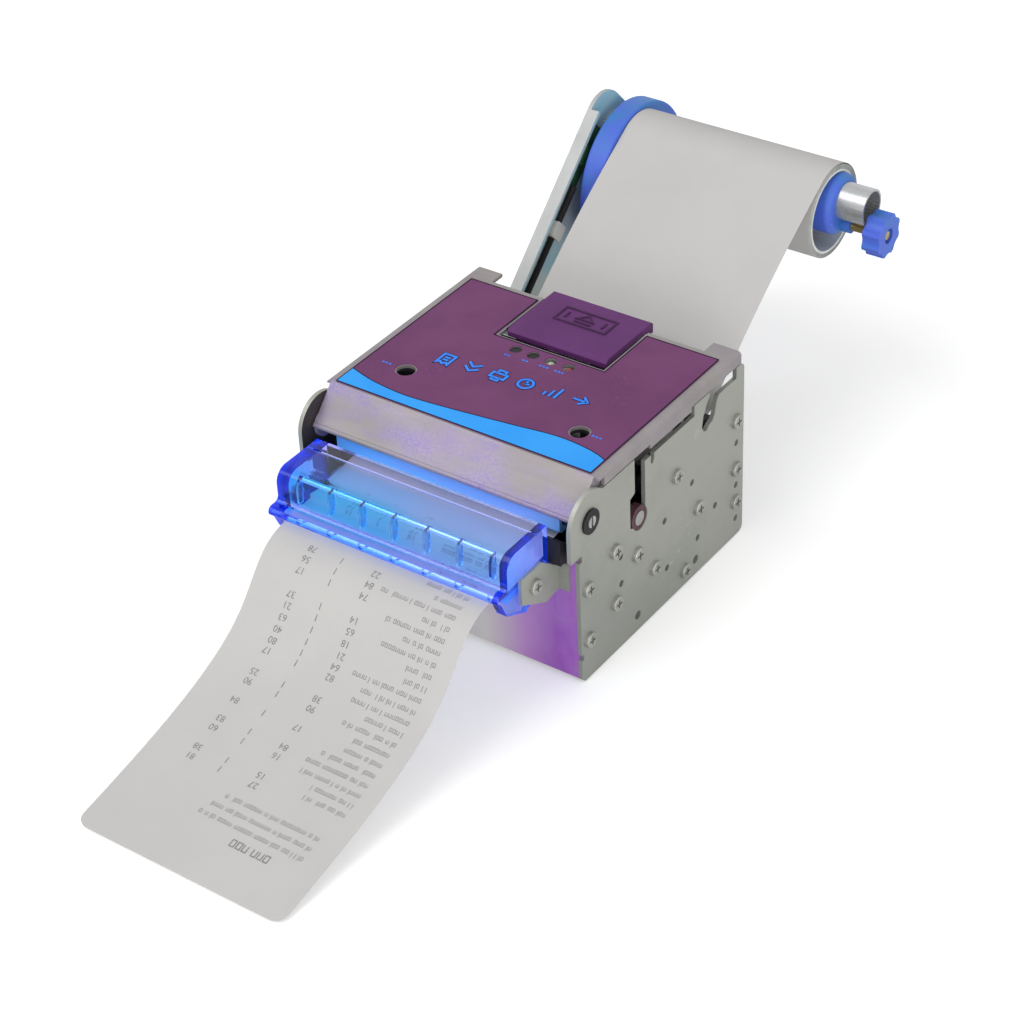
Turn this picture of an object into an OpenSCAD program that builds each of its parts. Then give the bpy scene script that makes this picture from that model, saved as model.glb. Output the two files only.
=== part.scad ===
// Open-frame thermal receipt printer for an 80 mm roll, with a roll holder arm.
// Origin: centre of the base plate's underside. +Y points to the rear, +Z up. Millimetres.

/* [Body] */
// Width over the side plates
body_w = 106; // [104:1:116]
// Depth of the side plates
body_d = 98; // [97:1:108]
// Height of the side plates' top edge
plate_h = 67.9; // [67.1:0.1:68.1]
// Thickness of the side plates
plate_t = 1.5; // [1.2:0.1:1.8]
// Thickness of the base, the panels and the lid
sheet_t = 1.2; // [0.8:0.1:1.4]
// Height of the lid's top face
lid_h = 72.6; // [72.2:0.1:75]
// Diameter of the screws
screw_d = 3; // [2.5:0.1:3]
// Diameter of the small spare holes in the side plates
spare_hole_d = 2.4; // [1.5:0.1:3]
// Diameter of the four fixing holes in the base
fixing_hole_d = 3.4; // [3:0.1:4.5]
// Distance between the fixing holes across the base
fixing_w = 80; // [60:1:84]
// Distance between the fixing holes along the base
fixing_l = 68; // [50:1:72]

/* [Paper] */
// What the side plates stand wider than the paper
paper_room = 26; // [25.5:0.1:27]
// Thickness of a sheet
paper_t = 0.3; // [0.2:0.05:0.4]
// How far the receipt reaches in front of the side plates
receipt_reach = 136; // [110:1:160]

/* [Lid hinge] */
// Distance of the hinge axis behind the front edge
hinge_back = 6.3; // [6:0.1:7]
// Height of the hinge axis
hinge_z = 60.1; // [59.5:0.1:60.5]
// Diameter of the hinge pins
hinge_pin_d = 4; // [3:0.1:4.2]
// Radius of the side plates' round front corner
hump_r = 10.6; // [9:0.1:10.8]

/* [Platen] */
// Distance of the platen axis behind the front edge
platen_back = 34.4; // [34:0.1:35.5]
// Height of the platen axis
platen_z = 43.7; // [43.4:0.1:44]
// Diameter of the platen's rubber
platen_d = 13; // [12:0.1:13.2]
// Diameter of the platen's journals
journal_d = 5; // [4:0.1:5.2]
// Diameter of the platen's core under the rubber
platen_core_d = 6; // [5:0.1:8]
// Outer diameter of the platen's bushes
platen_bush_d = 8.4; // [7:0.1:8.6]

/* [Gears] */
// Module of the feed gears
gear_m = 0.7; // [0.6:0.05:0.75]
// Teeth on the platen gear
platen_teeth = 22; // [18:1:22]
// Teeth on the idler gear
idler_teeth = 24; // [20:1:26]
// Teeth on the motor pinion
pinion_teeth = 12; // [12:1:14]
// Width of the feed gears
gear_w = 3.5; // [2.5:0.1:3.6]

/* [Cutter] */
// Thickness of the moving blade
blade_t = 1.2; // [0.8:0.1:1.3]
// Travel of the moving blade
blade_travel = 5; // [4:0.1:5]
// Module of the cutter's rack and pinion
rack_m = 0.6; // [0.5:0.05:0.65]
// Teeth on the cutter pinion
cutter_teeth = 14; // [14:1:15]

/* [Release lever] */
// Width of the lever's tab
tab_w = 39; // [30:1:40]
// Diameter of the latch shaft
latch_d = 4; // [3:0.1:4.5]
// Height of the latch shaft
latch_z = 62; // [61.5:0.1:62.5]
// Distance of the latch shaft behind the front edge
latch_back = 75; // [74.5:0.1:75.5]

/* [Mouth] */
// How far the mouth hood reaches past the paper on each side
mouth_room = 4.6; // [4:0.1:5]
// Height of the hood's top
mouth_top = 62; // [60.5:0.1:63]
// Radius of the hood's round nose
nose_r = 5; // [4.6:0.1:7.6]
// How far the hood's front wall stands before the side plates
mouth_reach = 26; // [24:0.1:28]
// How far the brim stands before the hood's front wall
brim_reach = 5.3; // [4:0.1:7]
// Thickness of the hood's walls
hood_t = 2.2; // [1.5:0.1:2.4]
// Ribs inside the hood
hood_ribs = 7; // [3:1:9]

/* [Roll holder] */
// Distance of the spindle behind the front edge
spindle_back = 181; // [175:0.5:190]
// Height of the spindle
spindle_z = 83.4; // [82:0.1:85]
// Outer diameter of the spindle tube
tube_d = 13.4; // [12:0.1:14]
// Wall of the spindle tube
tube_t = 0.8; // [0.5:0.1:1.5]
// Length of the tube past the paper's edge
tube_past = 14; // [11:0.5:15]
// Outer diameter of the paper roll
roll_d = 33.8; // [32:0.1:40]
// Outer diameter of the cardboard core
core_d = 30.4; // [30:0.1:31]
// Bore of the cardboard core
core_bore_d = 28.6; // [27:0.1:29]
// Diameter of the bosses that the core hangs on
hub_d = 22; // [21:0.1:23]
// Lean of the hanging roll towards the front, in degrees
roll_lean = 36; // [0:1:45]
// Diameter of the guide disc
disc_d = 58; // [50:0.5:60]
// How far the guide disc's middle lies below the spindle
disc_drop = 13; // [4:0.5:14]
// Thickness of the guide disc's rim
disc_t = 8; // [6:0.1:8]
// Thickness of the arm's sheet
arm_t = 1.5; // [1:0.1:2]
// Depth of the arm's folded edge
arm_fold = 4.8; // [3:0.1:4.8]
// Slope of the arm, in degrees
arm_slope = 42.7; // [42:0.1:43.5]
// Diameter across the knob's lobes
knob_d = 16; // [12:0.1:16.5]
// Length of the knob
knob_l = 6.6; // [6:0.1:12]
// Diameter of the sensor cable
cable_d = 2.4; // [1.8:0.1:2.4]

/* [Fit] */
// Radial gap of a shaft that turns in a bush
run_gap = 0.05; // [0.03:0.01:0.08]
// Gap between pieces that pass each other
free_gap = 0.3; // [0.2:0.05:0.35]

/* [Hidden] */
$fn = 48;

half = body_w / 2;
paper_w = body_w - paper_room;
mouth_half = paper_w / 2 + mouth_room;
inner = half - plate_t;
front = -body_d / 2;
rear = body_d / 2;
// y of a place given by its distance behind the front edge
function back(d) = front + d;

// Levels and layers that several pieces share
lid_under = lid_h - sheet_t;
lid_gap = 0.4;
flange_low = plate_h + lid_gap;
label_t = 0.3;
panel_gap = 0.3;
panel_z = 46;
panel_end_z = 48.2;
cheek_t = 1.5;
cheek_x = inner - cheek_t;
cheek_rear = body_d - 23;
ear_t = sheet_t;
ear_x = inner - 0.4 - ear_t;

// Screws and spare holes, as distance behind the front edge and height
front_screws = [[4.1, 15.3], [4.1, 35.3]];
mech_screws = [[19.6, 40], [19.6, 19.5], [32.2, 30.8], [42.3, 19], [body_d - 29, 26.5],
    [55.8, 47.2]];
base_screws = [[60.6, 6.1]];
rear_inset = 5.2;
rear_screws = [[body_d - rear_inset, 14.6], [body_d - rear_inset, 28]];
rear_top_screws = [[body_d - rear_inset, 47.3]];
arm_extra_screws = [[body_d - 19.5, 13]];
spare_holes = [[48.8, 33.6], [65.6, 38.7], [69.1, 14.2], [80.1, 20.7], [23.1, 35.6], [23.1, 25],
    [50.1, 13.9]];
rear_spare_holes = [[body_d - 4.5, 7.2], [body_d - 4.5, 21], [body_d - 4.5, 38.2]];
side_fixing = [32.4, 67.8];
side_fixing_z = 6;
screw_head_d = screw_d * 1.75;
screw_head_h = 1.5;
screw_reach = plate_t + cheek_t;
recess_w = 0.7;

// Lid
lid_front = 12;
lip_back = 1.6;
lip_z = 61.6;
lid_rear = body_d - 8;
lid_ear_rear = body_d - 2;
lid_ear_x = half - 10.6;
fold_r = 1.5;
flange_back = 14.8;
label_x = half - 3.4;
label_front = 12.6;
label_rear = lid_rear - 2.2;
label_r = 1;
cut_x = tab_w / 2 + 1.4;
cut_front = latch_back - 11.8;
access_hole_d = 6.5;
access_x = half - 19;
access_back = 29.7;
button_row = 58.5;
button_pitch = 7;
button_hole_d = 4.4;
button_d = 3.8;
button_travel = 0.5;
frame_x = half - 12.2;
frame_gap = 0.8;

// Paper route
paper_rise = 0.2;
path_z = platen_z + platen_d / 2 + paper_rise;
inlet_z = 43;
cut_gap_front = 14;
cut_gap_rear = 19;

// Print head
head_low = path_z + paper_t + free_gap;
head_strip_h = 2;
head_plate_h = 4;
head_top = head_low + head_strip_h + head_plate_h;
head_float = 1;
head_front = 24;
head_rear = 46;
head_half = half - 10;
guide_pin_d = 4;
guide_pin_x = half - 23;
spring_x = 18;
spring_d = 7;
spring_wire = 0.9;
spring_turns = 5;

// Cutter
blade_back = 15.8;
blade_half = half - 10;
blade_top = 48.2;
blade_dip = 2;
blade_low = 36;
rack_r = rack_m * cutter_teeth / 2;
cutter_x = half - 19;
cutter_z = 26;
rack_leg = 8;
rack_low = 15.6;
rack_teeth = 8;
frame_front = 13.2;
frame_rear = 19.6;
cutter_low = 14;
cutter_high = 46.5;

// Feed train
gear_side = 0.6;
gear_x = -(cheek_x - gear_side - gear_w / 2);
gear_addendum = 0.9;
gear_dedendum = 1.25;
pressure = 25;
gear_backlash = 0.07;
gear_spread = 0.08;
function gear_r(teeth, m = gear_m) = teeth * m / 2;
idler_dir = -60;
pinion_dir = -20;
idler_dist = gear_r(platen_teeth) + gear_r(idler_teeth) + gear_spread;
pinion_dist = gear_r(idler_teeth) + gear_r(pinion_teeth) + gear_spread;
idler_y = back(platen_back) + idler_dist * cos(idler_dir);
idler_z = platen_z + idler_dist * sin(idler_dir);
pinion_y = idler_y + pinion_dist * cos(pinion_dir);
pinion_z = idler_z + pinion_dist * sin(pinion_dir);
axle_d = 3;
motor_shaft_d = 2;
motor_d = 25;
motor_l = 15;
bracket_x = -(half - 11.5);

// Roll holder
spindle_y = back(spindle_back);
arm_x = -half;
arm_front = 21.4;
arm_rear = -18.4;
arm_top = 14.4;
arm_corner = 12;
neck_low = -112.8;
neck_rear = 3.6;
disc_right = -paper_w / 2 - 0.2;
disc_left = disc_right - disc_t;
disc_boss = 6;
// The tube sits above the middle of the discs
tube_rise = 1.9;
tube_reach = paper_w / 2 + tube_past;
hub_in = paper_w / 2 - 9;
hub_out = paper_w / 2 + 3.5;
hub_boss_out = hub_out + 3.4;
knob_screw_d = 3.2;
knob_drop = tube_d / 2 + knob_screw_d / 2 + 0.7;
knob_in = tube_reach + 0.5;
// The roll hangs on its bosses, pulled to the front by the web
roll_drop = (core_bore_d - hub_d) / 2 - 0.1;
roll_back = spindle_back - roll_drop * sin(roll_lean);
roll_z = spindle_z - roll_drop * cos(roll_lean);

// Extrudes a (y, z) outline between two x values
module along_x(x0, x1) {
    translate([x0, 0, 0]) rotate([90, 0, 90]) linear_extrude(x1 - x0) children();
}

// Extrudes an (x, z) outline between two y values
module along_y(y0, y1) {
    translate([0, y1, 0]) rotate([90, 0, 0]) linear_extrude(y1 - y0) children();
}

// Repeats a right-hand piece on the left
module both_sides() {
    children();
    mirror([1, 0, 0]) children();
}

module rounded_square(size, r) {
    translate([r, 0]) square([size[0] - 2 * r, size[1]]);
    translate([0, r]) square([size[0], size[1] - 2 * r]);
    for (x = [r, size[0] - r], y = [r, size[1] - r]) translate([x, y]) circle(r);
}

// Round hole along x
module hole_x(y, z, d, x0, x1) {
    translate([x0, y, z]) rotate([0, 90, 0]) cylinder(d = d, h = x1 - x0);
}

// Pan-head screw, head outwards along +x at the origin
module pan_screw(reach) {
    difference() {
        rotate([0, 90, 0]) rotate_extrude() {
            square([screw_head_d / 2 - 0.4, screw_head_h]);
            square([screw_head_d / 2, screw_head_h - 0.4]);
            translate([screw_head_d / 2 - 0.4, screw_head_h - 0.4]) circle(0.4, $fn = 24);
        }
        for (a = [0, 90]) rotate([a, 0, 0])
            translate([screw_head_h - 0.8, -recess_w / 2, -screw_head_d * 0.3])
                cube([1, recess_w, screw_head_d * 0.6]);
    }
    translate([-reach, 0, 0]) rotate([0, 90, 0]) cylinder(d = screw_d, h = reach);
}

// Gears: outline with involute flanks, a tooth on the first axis
function inv_deg(a) = (tan(a) - a * PI / 180) * 180 / PI;
function tooth_half(r, rp, teeth) = let(rb = rp * cos(pressure))
    90 / teeth - gear_backlash / rp * 180 / PI + inv_deg(pressure) - (r > rb ? inv_deg(acos(rb / r)) : 0);
function polar(r, a) = [r * cos(a), r * sin(a)];
module gear_outline(teeth, m) {
    rp = gear_r(teeth, m);
    ra = rp + gear_addendum * m;
    rr = rp - gear_dedendum * m;
    rb = max(rp * cos(pressure), rr);
    flank = [rr, rb, (rb + rp) / 2, rp, (rp + ra) / 2, ra];
    polygon([for (i = [0:teeth - 1]) let(a = i * 360 / teeth) each concat(
        [for (r = flank) polar(r, a - tooth_half(r, rp, teeth))],
        [for (k = [5:-1:0]) polar(flank[k], a + tooth_half(flank[k], rp, teeth))])]);
}
// Turn that puts a gear in mesh with its driver, seen in direction dir from the driver
function mesh_turn(turn, teeth, own_teeth, dir) =
    dir + 180 - 180 / own_teeth - teeth / own_teeth * (turn - dir);
idler_turn = mesh_turn(idler_dir, platen_teeth, idler_teeth, idler_dir);
pinion_turn = mesh_turn(idler_turn, idler_teeth, pinion_teeth, pinion_dir);

module feed_gear(y, z, teeth, turn, bore) {
    translate([0, y, z]) along_x(gear_x - gear_w / 2, gear_x + gear_w / 2) difference() {
        rotate(turn) gear_outline(teeth, gear_m);
        circle(d = bore);
    }
}

// Sheet with a curved route: points are (y, z) of its underside
function bezier(p, t) = pow(1 - t, 3) * p[0] + 3 * t * pow(1 - t, 2) * p[1]
    + 3 * t * t * (1 - t) * p[2] + pow(t, 3) * p[3];

// Side plates

bush_w = 7;
bush_rise = 4.4;
// Oblong outline of the platen's bushes
module bush_outline(gap) {
    w = bush_w / 2 + gap;
    h = bush_rise + gap;
    translate([back(platen_back), platen_z]) {
        circle(d = platen_bush_d + 2 * gap);
        polygon([[-w, 0], [-w, h - 2], [2 - w, h], [w - 2, h], [w, h - 2], [w, 0]]);
    }
}

top_slot = 4;
tongue_z = plate_h - 1.3;
step_z = panel_end_z + 1.6;
module plate_outline() {
    slot_low = plate_h - top_slot;
    difference() {
        union() {
            translate([front, 0]) rounded_square([body_d, plate_h], 2.5);
            translate([back(hinge_back), hinge_z]) circle(hump_r);
            translate([back(hinge_back - hump_r), step_z]) square([hump_r, hinge_z - step_z]);
        }
        // Slot over the platen's bush, led to the rear along the top edge
        translate([back(platen_back - 2.8), platen_z]) square([6, plate_h]);
        bush_outline(run_gap);
        polygon([for (p = [[-5.6, -0.8], [-5.6, 10.4], [-2.6, 11.6], [0.6, 11.6], [0.6, 0], [-2.6, -2.4]])
            [back(platen_back) + p[0], platen_z + p[1]]]);
        translate([back(platen_back - 1), slot_low]) square([latch_back - 8 - platen_back + 1, 20]);
        polygon([for (p = [[6.6, -3], [6.6, 2], [8.6, 2], [8.6, -1.8], [7.8, -3.6]])
            [back(platen_back) + p[0], slot_low + p[1]]]);
        // Notch for the latch, led to the rear along the top edge
        polygon([for (p = [[-3.4, -5.2], [-2.6, -1.4], [-0.6, 2.4], [1.2, 4.4], [1.2, 20], [8, 20], [8, 2.4],
            [6.4, 1.4], [5.4, -0.7], [4.4, -4.4], [3.2, -6], [1, -6.6], [-0.6, -8], [-2.4, -7.4]])
            [back(latch_back) + p[0], latch_z + p[1]]]);
        translate([back(latch_back + 3), slot_low]) square([body_d - 5 - latch_back - 3, 20]);
        // Notches in the front edge
        translate([front - 1, panel_end_z - 0.8]) square([1 + 1.5, step_z - panel_end_z + 0.8]);
        translate([front - 1, 9]) square([1 + 1.2, 2.2]);
        translate([back(hinge_back), hinge_z]) circle(d = hinge_pin_d + 2.7);
    }
}

module plate_holes(screws) {
    for (p = screws) translate([back(p[0]), p[1]]) circle(d = screw_d + 0.2);
    for (p = concat(spare_holes, rear_spare_holes)) translate([back(p[0]), p[1]]) circle(d = spare_hole_d);
    for (d = side_fixing) translate([back(d), side_fixing_z]) circle(d = screw_d + 0.2);
    translate([back(latch_pin_back), latch_pin_z]) circle(d = latch_pin_d + 0.04);
}

plate_screws = concat(front_screws, mech_screws, base_screws, rear_screws, rear_top_screws);

module right_side_plate() {
    color([0.66, 0.67, 0.65]) along_x(inner, half) difference() {
        plate_outline();
        plate_holes(plate_screws);
    }
}

module left_side_plate() {
    color([0.66, 0.67, 0.65]) along_x(-half, -inner) difference() {
        plate_outline();
        plate_holes(concat(plate_screws, arm_extra_screws));
    }
}

// Side frames of the print mechanism, bolted inside the side plates
module mechanism_cheeks() {
    color([0.55, 0.57, 0.56]) both_sides() along_x(cheek_x, inner) difference() {
        polygon([for (p = [[14, 14], [38, 11], [cheek_rear, 17], [cheek_rear, 40], [cheek_rear - 11, 52],
            [41, 52], [41, 45], [26, 45], [14, 46.4]]) [back(p[0]), p[1]]]);
        for (p = mech_screws) translate([back(p[0]), p[1]]) circle(d = screw_d + 0.2);
        bush_outline(run_gap);
        translate([back(platen_back) - bush_w / 2 - run_gap, platen_z]) square([bush_w + 2 * run_gap, 20]);
        translate([idler_y, idler_z]) circle(d = axle_d + 0.04);
        for (p = spare_holes) translate([back(p[0]), p[1]]) circle(d = spare_hole_d);
    }
}

module base_plate() {
    flange_h = 11;
    color([0.6, 0.61, 0.6]) difference() {
        union() {
            translate([-inner, back(2), 0]) cube([2 * inner, body_d - 4, sheet_t]);
            both_sides() translate([inner - sheet_t, back(26), 0]) cube([sheet_t, body_d - 52, flange_h]);
        }
        for (x = [-1, 1], y = [-1, 1])
            translate([x * fixing_w / 2, y * fixing_l / 2, -1]) cylinder(d = fixing_hole_d, h = sheet_t + 2);
        both_sides() {
            for (p = base_screws) hole_x(back(p[0]), p[1], screw_d + 0.2, inner - 3, inner + 1);
            for (d = side_fixing) hole_x(back(d), side_fixing_z, screw_d + 0.2, inner - 3, inner + 1);
        }
    }
}

module front_panel() {
    color([0.62, 0.58, 0.66]) difference() {
        union() {
            along_y(back(panel_gap), back(panel_gap + sheet_t)) difference() {
                translate([-inner, sheet_t]) square([2 * inner, panel_end_z - sheet_t]);
                translate([-mouth_half + 3.6, panel_z]) square([2 * mouth_half - 7.2, 10]);
            }
            both_sides() translate([inner - sheet_t, back(panel_gap), sheet_t])
                cube([sheet_t, 8.5, 42]);
        }
        both_sides() for (p = front_screws)
            hole_x(back(p[0]), p[1], screw_d + 0.2, inner - 3, inner + 1);
    }
}

port_x = half - 41;
port_w = 12;
port_h = 11;
inlet_x = half - 19;
inlet_w = 14;
inlet_h = 12;
port_low = 8.2;
grommet_x = -(half - 8);
grommet_z = 30;

module rear_panel() {
    top = 39;
    color([0.62, 0.63, 0.62]) difference() {
        union() {
            along_y(rear - 2.7, rear - 2.7 + sheet_t)
                translate([-inner, sheet_t]) square([2 * inner, top - sheet_t]);
            both_sides() translate([inner - sheet_t, rear - 9.5, sheet_t]) cube([sheet_t, 8, 50]);
        }
        both_sides() {
            for (p = concat(rear_screws, rear_top_screws))
                hole_x(back(p[0]), p[1], screw_d + 0.2, inner - 3, inner + 1);
            for (p = rear_spare_holes) hole_x(back(p[0]), p[1], spare_hole_d, inner - 3, inner + 1);
        }
        translate([port_x - port_w / 2 - 0.2, rear - 4, port_low - 0.2])
            cube([port_w + 0.4, 4, port_h + 0.4]);
        translate([inlet_x - inlet_w / 2 - 0.2, rear - 4, port_low - 0.2])
            cube([inlet_w + 0.4, 4, inlet_h + 0.4]);
        translate([grommet_x, rear, grommet_z]) rotate([90, 0, 0]) cylinder(d = cable_d + 0.8, h = 5);
    }
}

module panel_screws() {
    color([0.75, 0.75, 0.74]) {
        for (p = plate_screws) translate([half, back(p[0]), p[1]]) pan_screw(screw_reach);
        mirror([1, 0, 0]) for (p = concat(front_screws, mech_screws, base_screws, rear_top_screws))
            translate([half, back(p[0]), p[1]]) pan_screw(screw_reach);
        both_sides() translate([bracket_out, back(bracket_screw[0]), bracket_screw[1]])
            pan_screw(sheet_t + hood_t);
    }
}

module hinge_bushes() {
    color([0.08, 0.08, 0.09]) both_sides() translate([0, back(hinge_back), hinge_z]) rotate([0, 90, 0])
        difference() {
            union() {
                translate([0, 0, inner]) cylinder(d = hinge_pin_d + 2.6, h = plate_t);
                translate([0, 0, half]) cylinder(d = hinge_pin_d + 4.6, h = 0.8);
            }
            cylinder(d = hinge_pin_d + 2 * run_gap, h = body_w);
        }
}

// Mouth

hood_rear = back(-4.8);
nose_y = back(-mouth_reach) + nose_r;
nose_z = mouth_top - nose_r;
brim_low = 47.4;
brim_high = 51;
brim_r = (brim_high - brim_low) / 2;
brim_y = back(-mouth_reach - brim_reach) + brim_r;
fillet_r = 2;
hood_end_t = 3.8;
bracket_in = mouth_half;
bracket_out = mouth_half + sheet_t;
bracket_screw = [-13.9, 45.2];

module hood_outer() {
    front_y = back(-mouth_reach);
    translate([nose_y, nose_z]) circle(nose_r);
    translate([nose_y, brim_low]) square([hood_rear - nose_y, mouth_top - brim_low]);
    translate([front_y, brim_low]) square([nose_r, nose_z - brim_low]);
    translate([brim_y, brim_low]) square([front_y - brim_y + 1, brim_high - brim_low]);
    translate([brim_y, brim_low + brim_r]) circle(brim_r);
    difference() {
        translate([front_y - fillet_r, brim_high - 0.1]) square([fillet_r + 0.1, fillet_r + 0.1]);
        translate([front_y - fillet_r, brim_high + fillet_r]) circle(fillet_r);
    }
}

module hood_inner(inset) {
    translate([nose_y, nose_z]) circle(nose_r - inset);
    translate([nose_y, brim_low - 1]) square([hood_rear - nose_y + 1, mouth_top - inset - brim_low + 1]);
    translate([back(-mouth_reach) + inset, brim_low - 1]) square([nose_r - inset, nose_z - brim_low + 1]);
}

module mouth_hood() {
    rib_t = 1;
    rib_depth = 2.2;
    rib_root = 0.2; // ribs and rail start inside the wall
    rib_span = 2 * (mouth_half - hood_t) - 10;
    rib_rear = back(-mouth_reach) + hood_t + rib_depth;
    rail_h = 1.2;
    color([0.25, 0.5, 0.95, 0.6]) difference() {
        union() {
            along_x(-mouth_half, mouth_half) difference() {
                hood_outer();
                hood_inner(hood_t);
            }
            both_sides() along_x(mouth_half - hood_end_t, mouth_half) {
                hood_outer();
                polygon([[hood_rear, mouth_top - 1], [hood_rear, 44], [back(-9), 41], [back(-17.6), 37],
                    [back(-mouth_reach - 1), 41.6], [brim_y, brim_low], [back(-mouth_reach), brim_high]]);
            }
            for (i = [0:hood_ribs - 1]) let(x = -rib_span / 2 + i * rib_span / (hood_ribs - 1))
                along_x(x - rib_t / 2, x + rib_t / 2) difference() {
                    hood_inner(hood_t - rib_root);
                    translate([front - 60, 0]) square([60, brim_high]);
                    translate([rib_rear, 0]) square([60, mouth_top]);
                }
            // Rail along the ribs' inner edges
            along_x(-rib_span / 2, rib_span / 2)
                translate([rib_rear - rib_t, mouth_top - hood_t - rail_h]) square([rib_t, rail_h + rib_root]);
        }
        both_sides() hole_x(back(bracket_screw[0]), bracket_screw[1], screw_d + 0.2,
            mouth_half - hood_t - 1, mouth_half + 1);
        // Line across the flat rear of the hood's top
        translate([-mouth_half - 1, hood_rear - 5.6, mouth_top - 0.4]) cube([2 * mouth_half + 2, 0.6, 1]);
    }
}

module mouth_guide() {
    x = mouth_half - hood_end_t - 0.2;
    color([0.2, 0.42, 0.9]) {
        along_x(-x, x) polygon([[back(panel_gap), 45.4], [back(panel_gap), 47], [back(-24.5), 45.4],
            [back(-25.4), 44.6], [back(-24.5), 43.8]]);
        for (i = [-3:3]) let(m = i * paper_w * 0.1625) along_x(m - 0.6, m + 0.6)
            polygon([[back(panel_gap), 45.4], [back(-22), 43.96], [back(panel_gap), 40]]);
    }
}

module mouth_brackets() {
    color([0.68, 0.68, 0.66]) both_sides() difference() {
        union() {
            along_x(bracket_in, bracket_out) polygon([for (p = [[-20.6, 42], [-20.6, 51.4], [-9.4, 51.4],
                [-3, 46.4], [panel_gap, 46.4], [panel_gap, 36], [-8, 35.2]]) [back(p[0]), p[1]]]);
            translate([bracket_in - 0.01, back(panel_gap) - sheet_t, 36])
                cube([cheek_x - bracket_in - 0.5, sheet_t, 10.4]);
        }
        hole_x(back(bracket_screw[0]), bracket_screw[1], screw_d + 0.2, bracket_in - 1, bracket_out + 1);
    }
}

module end_blocks() {
    color([0.07, 0.07, 0.08]) both_sides() along_x(mouth_half - 3.6, cheek_x - 0.6)
        polygon([[hood_rear, panel_end_z], [back(panel_gap + sheet_t), panel_end_z],
            [back(panel_gap + sheet_t), 52.6], [hood_rear, 57.5]]);
}

// Paper feed

// Height of the paper's underside at a distance d behind the front edge
function feed_z(d) = inlet_z + (path_z - inlet_z) * (body_d - d) / (body_d - platen_back - 7.6);
module paper_guide() {
    rail = 2.2;
    first = platen_back + 8.6;
    last = body_d - 4;
    function top(d) = feed_z(d) - 0.5;
    color([0.1, 0.1, 0.11]) {
        along_x(-cheek_x, cheek_x) polygon([[back(first), top(first) - 3], [back(first + 1), top(first + 1)],
            [back(last), top(last)], [back(last), top(last) - 3]]);
        for (i = [-3:3]) let(m = i * paper_w * 0.15) along_x(m - 1, m + 1)
            polygon([[back(first + 3), top(first + 3) - 3], [back(last - 1), top(last - 1) - 3],
                [back(last - 1), top(last - 1) - 5], [back(first + 3), top(first + 3) - 5]]);
        both_sides() along_x(paper_w / 2 + 0.6, paper_w / 2 + 0.6 + rail)
            polygon([[back(first + 3), top(first + 3)], [back(last), top(last)], [back(last), top(last) + rail],
                [back(first + 7), top(first + 7) + rail]]);
    }
}

module platen_shaft() {
    color([0.72, 0.72, 0.72]) translate([0, back(platen_back), platen_z]) rotate([0, 90, 0]) {
        translate([0, 0, -half + 0.1]) cylinder(d = journal_d, h = body_w - 0.2);
        translate([0, 0, -paper_w / 2 - 1]) cylinder(d = platen_core_d, h = paper_w + 2);
    }
}

module platen_rubber() {
    color([0.12, 0.12, 0.12]) translate([-paper_w / 2 - 1, back(platen_back), platen_z]) rotate([0, 90, 0])
        difference() {
            cylinder(d = platen_d, h = paper_w + 2, $fn = 64);
            translate([0, 0, -1]) cylinder(d = platen_core_d + 0.04, h = paper_w + 4);
        }
}

module platen_bushes() {
    color([0.42, 0.25, 0.32]) both_sides() difference() {
        along_x(cheek_x, half - 0.4) bush_outline(0);
        hole_x(back(platen_back), platen_z, journal_d + 2 * run_gap, cheek_x - 1, half + 1);
    }
}

module platen_gear() {
    color([0.93, 0.92, 0.88])
        feed_gear(back(platen_back), platen_z, platen_teeth, idler_dir, journal_d + 0.04);
}

module idler_gear() {
    color([0.93, 0.92, 0.88]) feed_gear(idler_y, idler_z, idler_teeth, idler_turn, axle_d + 2 * run_gap);
}

module motor_pinion() {
    color([0.8, 0.66, 0.3])
        feed_gear(pinion_y, pinion_z, pinion_teeth, pinion_turn, motor_shaft_d + 0.04);
}

module drive_bracket() {
    color([0.6, 0.61, 0.6]) {
        difference() {
            union() {
                along_x(bracket_x, bracket_x + sheet_t) translate([idler_y - 4, sheet_t])
                    square([pinion_y - idler_y + 20, pinion_z + motor_d / 2 + 0.3 - sheet_t]);
                translate([bracket_x, idler_y - 4, sheet_t]) cube([12, pinion_y - idler_y + 20, sheet_t]);
            }
            hole_x(pinion_y, pinion_z, 8, bracket_x - 1, bracket_x + 3);
        }
        // Axle of the idler gear, riveted into the bracket
        translate([-inner, idler_y, idler_z]) rotate([0, 90, 0]) {
            cylinder(d = axle_d, h = inner + bracket_x + sheet_t);
            translate([0, 0, cheek_t]) cylinder(d = axle_d + 2, h = gear_side - 0.1);
        }
    }
}

module feed_motor() {
    face = bracket_x + sheet_t;
    color([0.7, 0.7, 0.7]) translate([0, pinion_y, pinion_z]) rotate([0, 90, 0]) {
        translate([0, 0, face]) cylinder(d = motor_d, h = motor_l);
        translate([0, 0, gear_x - gear_w / 2]) cylinder(d = motor_shaft_d, h = face - gear_x + gear_w / 2 + 1);
        translate([0, 0, bracket_x]) cylinder(d = 7.8, h = sheet_t + 0.1);
    }
}

// Cutter

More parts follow.
